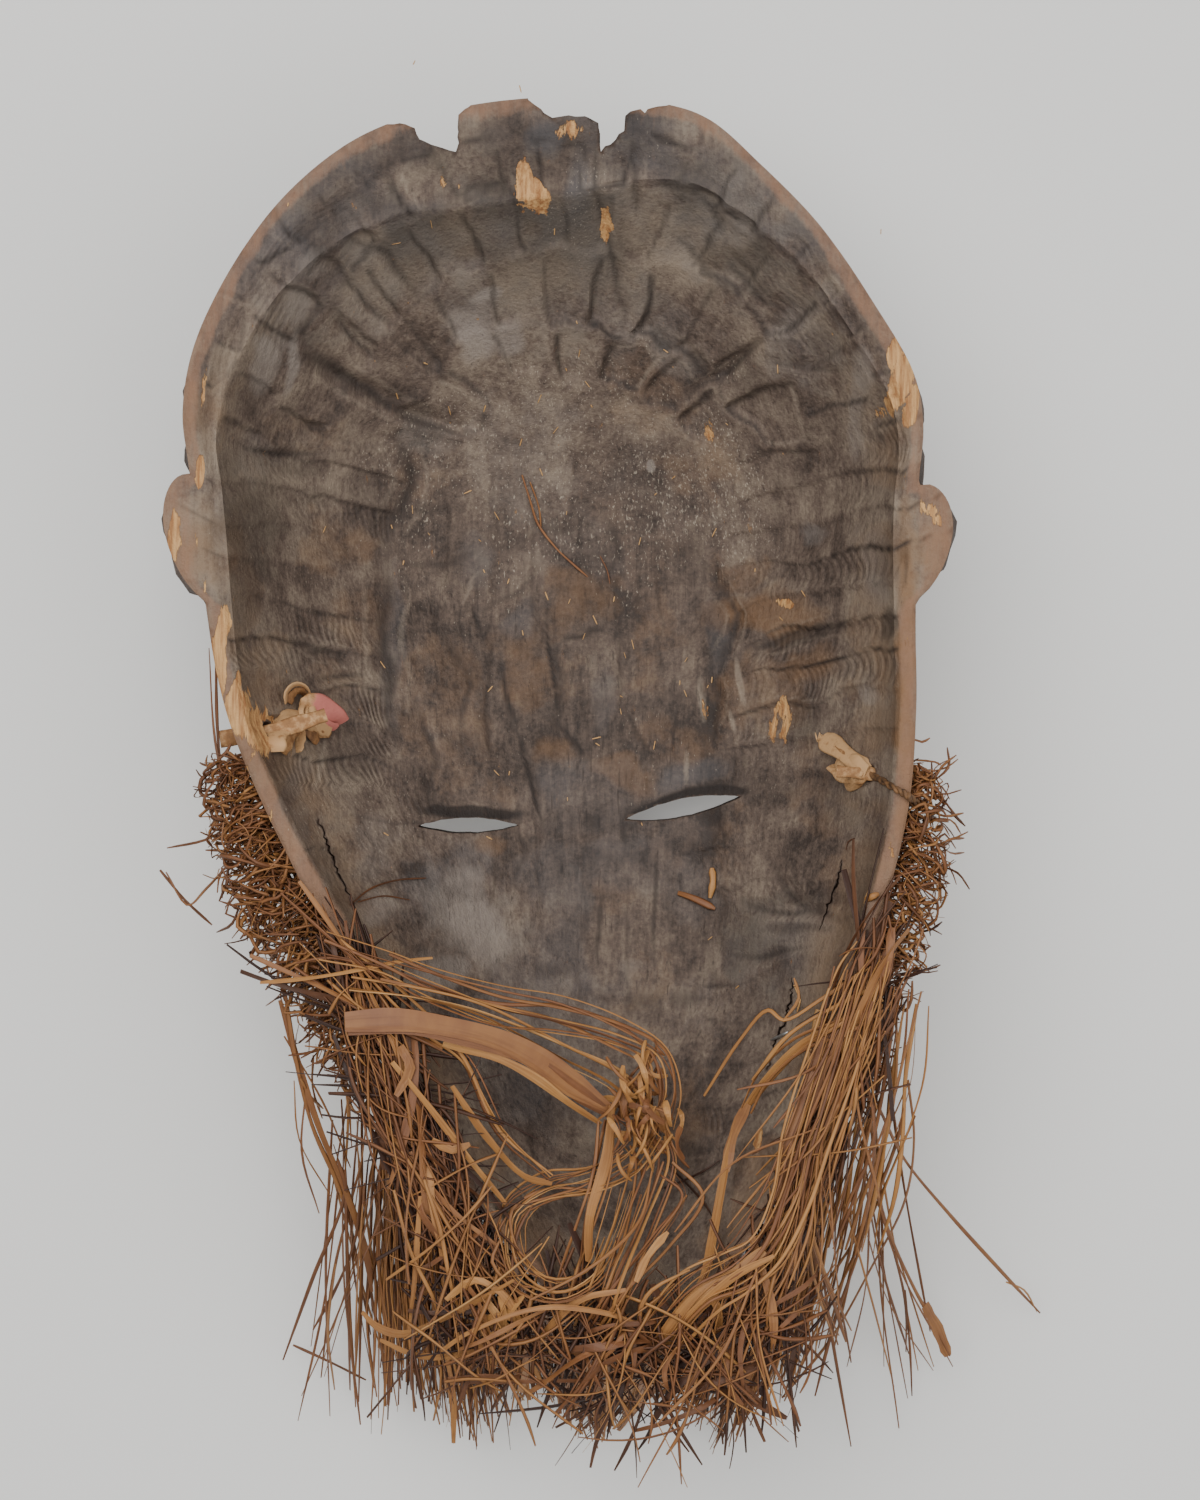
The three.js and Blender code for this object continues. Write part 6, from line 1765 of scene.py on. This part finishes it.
def makeShells(dice):
    shares = bandShares(shellLook["count"] + 2)[0][1:-1]
    depth = float(bandLook["depth"])
    places, facings, sizes, shades = [], [], [], []
    threads = newStore()
    for share in shares:
        foot = jawPlace(share, depth, bandLook["gap"] + bandLook["thickness"] + shellLook["lift"] - 0.4)
        along = Vector(jawPlace(share + 0.004, depth, 0.0) - jawPlace(share - 0.004, depth, 0.0)).normalized()
        across = Vector(jawPlace(share, depth + 3, 0.0) - jawPlace(share, depth - 3, 0.0)).normalized()
        out = -along.cross(across).normalized()
        along = (Matrix.Rotation(math.radians(dice.uniform(-7, 7)), 3, out) @ along).normalized()
        upright = out.cross(along).normalized()
        basis = Matrix((along, upright, out)).transposed()
        places.append(foot)
        facings.extend(basis.to_euler())
        sizes.append(dice.uniform(0.93, 1.02))
        shades.append(dice.uniform(0.0, 0.6))
        for end in (-1, 1):
            for aside in (-0.5, 0.5):
                run = ((0.6, 6.6, 4.6), (1, 8.2, 5.2), (1.4, 9.8, 3.4), (2, 10.6, -0.6))
                path = [np.array(Vector(foot) + basis @ Vector((aside * x, end * y, z))) for x, y, z in run]
                addStrand(threads, path, 0.38, 0.2 + 0.15 * dice.random(), dice, 1.6, 0.2, (0.9, 0.9))
    piece = addPiece("sewnCowries", placed(places), values={"size": sizes, "shade": shades})
    piece.data.attributes.new("facing", "FLOAT_VECTOR", "POINT").data.foreach_set("vector", facings)
    template = cowrieTemplate()
    applyTree(piece, shellTree(), {"Shell": template, "Size": 1.0, "Finish": makeShellFinish()})
    bpy.data.objects.remove(template)
    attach(piece, "root")
    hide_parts(*[f"cowrie_{k + 1:02d}" for k in range(shellLook["count"])])
    stitches = growStrands("shellStitches", threads, raffiaLeaf, 5, 0.8)
    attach(stitches, "root")


# The hide knots at the temples: picture places with a lift off the wood in mm, half-width in mm, tone, roll
# and red dye
hideLook = {"dark": "#543722", "mid": "#946A42", "pale": "#BE966A", "dye": "#C4716A", "thong": "#2B221D"}
leftHide = [
    ([(304, 716, 2.5), (293, 721, 4.2), (281, 730, 4.2), (274, 742, 2.6), (274, 752, 1.2)], 3.9, 0.55, 0.2,
     0),
    ([(302, 720, 3), (294, 730, 4.4), (286, 741, 3.2), (282, 752, 1.5)], 2.7, 0.42, -0.5, 0),
    ([(296, 712, 2), (286, 716, 3.0), (278, 724, 2.6)], 2.4, 0.62, 0.6, 0),
    ([(286, 703, 2.2), (286, 693, 4.5), (294, 685, 6.0), (304, 686, 6.0), (310, 695, 5.0), (309, 705, 3.6)],
     1.7, 0.66, 1.2, 0),
    ([(289, 703, 1.6), (292, 695, 3.0), (300, 691, 3.6), (306, 697, 3.0), (307, 706, 2.6)], 1.5, 0.3, 0.9, 0),
    ([(300, 706, 3.4), (311, 706, 5.6), (323, 709, 6.2), (334, 715, 5.0), (341, 722, 3.0)], 3.6, 0.5, 0.15,
     1),
    ([(303, 711, 3.6), (312, 717, 5.6), (322, 724, 4.6), (330, 731, 2.6)], 3.0, 0.7, -0.3, 0),
    ([(318, 722, 4.5), (328, 725, 4.6), (336, 728, 2.8)], 1.6, 0.5, 0.4, 1),
    ([(304, 703, 4.4), (301, 711, 6.8), (304, 722, 6.8), (312, 731, 4.2)], 0.75, 0.85, 0.2, 0),
    ([(308, 704, 4.8), (306, 713, 7.2), (310, 724, 6.6), (318, 732, 3.8)], 0.6, 0.7, 0.2, 0),
    ([(301, 728, 3.2), (300, 740, 2.4), (298, 752, 1.0)], 1.6, 0.62, 0.5, 0),
    ([(305, 728, 3.4), (313, 736, 3.0), (318, 742, 1.6)], 1.6, 0.2, -0.5, 0),
    ([(308, 726, 3.4), (320, 734, 3.0), (330, 735, 1.6)], 1.2, 0.4, 0.5, 0),
]
rightHide = [
    ([(867, 771, 2.5), (855, 762, 4.4), (840, 750, 4.6), (829, 742, 3.2), (823, 737, 2.2)], 3.0, 0.58, 0.25,
     0),
    ([(867, 772, 3), (856, 766, 5.4), (845, 762, 4.6), (838, 760, 3)], 3.0, 0.7, -0.2, 0),
    ([(866, 774, 2.6), (853, 776, 4.0), (841, 772, 3.4), (833, 766, 2.0)], 2.7, 0.45, 0.3, 0),
    ([(862, 777, 2.2), (854, 784, 3.0), (846, 785, 1.6)], 2.2, 0.5, -0.4, 0),
    ([(858, 768, 3.4), (848, 757, 5.4), (836, 746, 5.2)], 0.5, 0.3, 0.1, 0),
]


def makeHide(name, dark):
    # dried goat hide: dull, pale and brown in clouds, one end dyed red; or the dark greased thong
    material, tree, shader = newFinish(name, {"Roughness": 0.68, "Specular IOR Level": 0.35})
    look = {k: linear(v) for k, v in hideLook.items()}
    tone, dye = (addNode(tree, "ShaderNodeAttribute", {"attribute_name": key}).outputs["Fac"]
                 for key in ("tone", "dye"))
    place = addNode(tree, "ShaderNodeTexCoord").outputs["Object"]
    cloud = addNode(tree, "ShaderNodeTexNoise", {"Scale": 420.0, "Detail": 5.0, "Roughness": 0.65},
                    {"Vector": place})
    mixed = addNode(tree, "ShaderNodeMath", {"operation": "MULTIPLY_ADD", 1: 0.9}, {0: cloud, 2: tone})
    ramp = addNode(tree, "ShaderNodeValToRGB", None, {"Fac": mixed})
    dry = {0.5: look["dark"], 0.82: look["mid"], 1.0: look["pale"]}
    setRamp(ramp, {0.5: look["thong"], 1.0: look["mid"]} if dark else dry)
    broken = addNode(tree, "ShaderNodeMath", {"operation": "MULTIPLY_ADD", 1: 0.7}, {0: cloud, 2: dye})
    dyed = addNode(tree, "ShaderNodeMapRange", {"From Min": 0.75, "From Max": 1.0, "To Max": 0.9},
                   {"Value": broken})
    colour = addNode(tree, "ShaderNodeMix", {"data_type": "RGBA", 7: look["dye"]}, {0: dyed, 6: ramp})
    bump = addNode(tree, "ShaderNodeBump", {"Strength": 0.6, "Distance": 0.0004}, {"Height": cloud})
    wire(shader, {"Base Color": colour, "Normal": bump})
    return material


def makeKnots(tree):
    dice = random.Random(seeds["knots"])
    hide = makeHide("driedGoatHide", False)
    thongFinish = makeHide("greasedHideThong", True)
    for name, strips, node, hole in (("hideKnotLeft", leftHide, "knot_left", cuts["holes"][0]),
                                     ("hideKnotRight", rightHide, "knot_right", cuts["holes"][1])):
        store = newStore()
        for places, halfWidth, tone, roll, dyed in strips:
            start = len(store["points"])
            path = [onWood(tree, *p) for p in places]
            addStrand(store, path, halfWidth, tone, dice, 1.3, 0.25, (0.7, 0.75))
            for k in range(start, len(store["points"])):
                store["turnOver"][k] += roll
                store["dye"][k] = dyed * min(1.0, (k - start) / (len(store["points"]) - start) * 2.2)
        path, radius = hole
        addStrand(store, path, radius - 0.6, 0.4, dice, 3, 0.1, (1, 1))
        if name == "hideKnotRight":
            for k in range(15):  # the frayed end
                across, down = 817 + k * 1.7 + dice.uniform(-1, 1), 738 + k * 0.75
                tip = onWood(tree, across + dice.uniform(-2, 1), down - dice.uniform(4, 8), 2.0)
                root = [onWood(tree, across + 1, down + 4, 2.4), onWood(tree, across, down, 2.6)]
                addStrand(store, [*root, tip], 0.22, 0.6, dice, 1.6, 0.2)
        piece = growStrands(name, store, hide, 12, 0.26)
        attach(piece, "root")
        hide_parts(node)
    # the dark thong from the right knot over the rim, two strands twisted
    store = newStore()
    onRim = ((861, 770, 3.4), (872, 775, 2.6), (884, 782, 2.2), (896, 789, 1.6), (905, 794, 1.4))
    beyond = ((911, 798, 1.6), (919, 804, -3.5))
    run = roundedLine([onWood(tree, *p) for p in onRim] + shown(*beyond), False, 8)
    for strand in (0, 1):
        path = []
        for k, p in enumerate(run):
            a = k * 0.62 + strand * math.pi
            path.append(p + np.array([0.5 * math.cos(a) * 0.5, 0.5 * math.cos(a), 0.5 * math.sin(a)]))
        addStrand(store, path[::2], 0.62, 0.25, dice, 0.8, 0.1, (0.9, 0.7))
    thong = growStrands("twistedThong", store, thongFinish, 7, 0.9)
    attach(thong, "root")


# Small things on the wood: picture places with a lift in mm, then half-width and tone
litter = [
    ([(522, 475, 0.5), (530, 500, 1.3), (538, 524, 1.0), (556, 548, 1.6), (574, 565, 1.0), (588, 577, 0.5)],
     0.34, 0.4),
    ([(530, 482, 0.6), (539, 508, 1.2), (541, 530, 0.7)], 0.26, 0.5),
    ([(678, 893, 0.8), (690, 897, 1.6), (704, 903, 1.4), (715, 909, 0.7)], 1.0, 0.42),
    ([(712, 868, 0.6), (713, 882, 1.2), (710, 898, 0.8)], 1.0, 0.75),
    ([(664, 1188, 0.8), (685, 1180, 2), (705, 1170, 2), (720, 1160, 1)], 0.3, 0.05),
    ([(669, 1166, 0.8), (688, 1185, 2), (704, 1203, 1.6), (712, 1216, 0.8)], 0.3, 0.05),
    ([(866, 900, 0.8), (872, 897, 1.4), (879, 894, 1)], 1.0, 0.6),
    ([(600, 556, 0.6), (607, 570, 0.8), (610, 584, 0.5)], 0.2, 0.3),
    ([(846, 850, 0.5), (848, 842, 0.6), (855, 838, 0.5)], 0.2, 0.1),
    ([(820, 1010, 0.8), (814, 1040, 1.5), (810, 1070, 1)], 1.5, 0.8),
    ([(794, 985, 0.8), (800, 1000, 1.2), (797, 1012, 0.8)], 0.3, 0.9),
    ([(350, 905, 0.8), (372, 888, 1.0), (398, 880, 1.0), (426, 878, 0.6)], 0.25, 0.2),
    ([(358, 902, 0.8), (384, 896, 1.0), (410, 900, 0.6)], 0.2, 0.25),
]
stapleLook = {
    "place": (780, 1036), "half": 8.5, "lean": -4, "colour": "#B9BAB8",
    # share of its half length, and mm off the wood
    "bend": [(-1, -1.0), (-0.96, 0.3), (-0.6, 0.75), (0, 0.8), (0.6, 0.75), (0.96, 0.3), (1, -1.0)],
}


def makeLitter(tree, dice):
    store = newStore()
    for places, halfWidth, tone in litter:
        addStrand(store, [onWood(tree, *p) for p in places], halfWidth, tone, dice, 1.8, 0.3)
    for k in range(70):  # crumbs of bark and splinters caught in the cuts
        across, down = dice.gauss(560, 130), dice.gauss(560, 170)
        turn, length = dice.gauss(1.57, 0.6), dice.uniform(1.5, 5)
        run = [(across + s * length * math.cos(turn), down + s * length * math.sin(turn)) for s in (-1, 0, 1)]
        ends = [onWood(tree, *place, 0.25) for place in run]
        addStrand(store, ends, dice.uniform(0.1, 0.22), dice.uniform(0.9, 1.1), dice, 2, 0.4)
    return store


def makeStaple(tree):
    # a bent wire of tinned steel that holds the crack
    material, nodes, shader = newFinish("tinnedSteelWire",
                                        {"Base Color": linear(stapleLook["colour"]), "Metallic": 1.0})
    place = addNode(nodes, "ShaderNodeTexCoord").outputs["Object"]
    scratch = addNode(nodes, "ShaderNodeTexNoise", {"Scale": 1400.0, "Detail": 3.0}, {"Vector": place})
    dull = addNode(nodes, "ShaderNodeMapRange", {"To Min": 0.3, "To Max": 0.6}, {"Value": scratch})
    wire(shader, {"Roughness": dull})
    across, down = stapleLook["place"]
    path = [onWood(tree, across + s * stapleLook["half"], down + s * stapleLook["lean"], lift)
            for s, lift in stapleLook["bend"]]
    store = newStore()
    addStrand(store, path, 0.42, 0.5, random.Random(seeds["staple"]), 1.0, 0.0, (1, 1))
    piece = growStrands("crackStaple", store, material, 8, 0.8)
    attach(piece, "root")


# Loose fibre over the rim: its two long sides in plan, its look, and headings with their spread and share
mats = {
    "left": {
        "sides": ([(-69, -73), (-60, -101), (-49, -132), (-35, -160)],
                  [(-58, -80), (-43, -106), (-33, -132), (-27, -160)]),
        "strands": 300, "tone": -0.14, "length": (22, 76), "bend": 0.35, "thick": 7.5, "sag": 2.5,
        "flow": [(-64, 12, 5), (-84, 8, 3), (-30, 25, 2), (60, 30, 1)],
    },
    "chin": {
        "sides": ([(-30, -158), (2, -168), (30, -170), (56, -158)],
                  [(-44, -186), (2, -196), (34, -198), (70, -184)]),
        "strands": 330, "tone": -0.08, "length": (20, 58), "bend": 0.45, "thick": 10, "sag": 4,
        "flow": [(-92, 18, 4), (-138, 18, 2), (-50, 18, 2), (10, 30, 2)],
    },
    "right": {
        "sides": ([(80, -70), (72, -100), (62, -126), (46, -158)],
                  [(88, -72), (82, -102), (72, -130), (58, -160)]),
        "strands": 170, "tone": -0.08, "length": (26, 80), "bend": 0.3, "thick": 6, "sag": 2,
        "flow": [(-108, 8, 6), (-96, 8, 3), (-130, 25, 1)],
    },
}


def makeBeard():
    dice = random.Random(seeds["beard"])
    over = {side: matStrands(mats[side], dice) for side in ("left", "chin", "right")}
    hankNames = [f"raffia_hank_{k + 1:02d}" for k in range(beard["hanks"]["count"])]
    pieces = {
        "raffiaRollLeft": (joined(rollStrands(beard["rollLeft"], dice), over["left"]),
                           ["raffia_roll_left", "raffia_over_left_rim"]),
        "raffiaRollRight": (joined(rollStrands(beard["rollRight"], dice), over["right"]),
                            ["raffia_roll_right", "raffia_over_right_rim"]),
        "raffiaHanks": (hankStrands(beard["hanks"], dice), hankNames),
        "raffiaOverChin": (over["chin"], ["raffia_over_chin"]),
        "raffiaLashings": (joined(lashingStrands(dice), rightStrands(dice)), ["raffia_lashings"]),
        "raffiaStrays": (joined(strayStore(dice), makeLitter(carved, dice)), ["raffia_stray_right"]),
        "raffiaLeafStrips": (leafStrips, []),
    }
    for name, (store, nodes) in pieces.items():
        fine = name in ("raffiaLashings", "raffiaStrays", "raffiaLeafStrips")
        flatness = 0.08 if name == "raffiaLeafStrips" else 0.3
        piece = growStrands(name, store, raffiaLeaf, 6 if fine else 4, flatness)
        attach(piece, "root")
        if nodes:
            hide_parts(*nodes)


makeBeard()
print("beard grown")
makeBand()
makeShells(random.Random(23))
print("band and shells sewn")
makeKnots(carved)
makeStaple(carved)
print("knots tied")
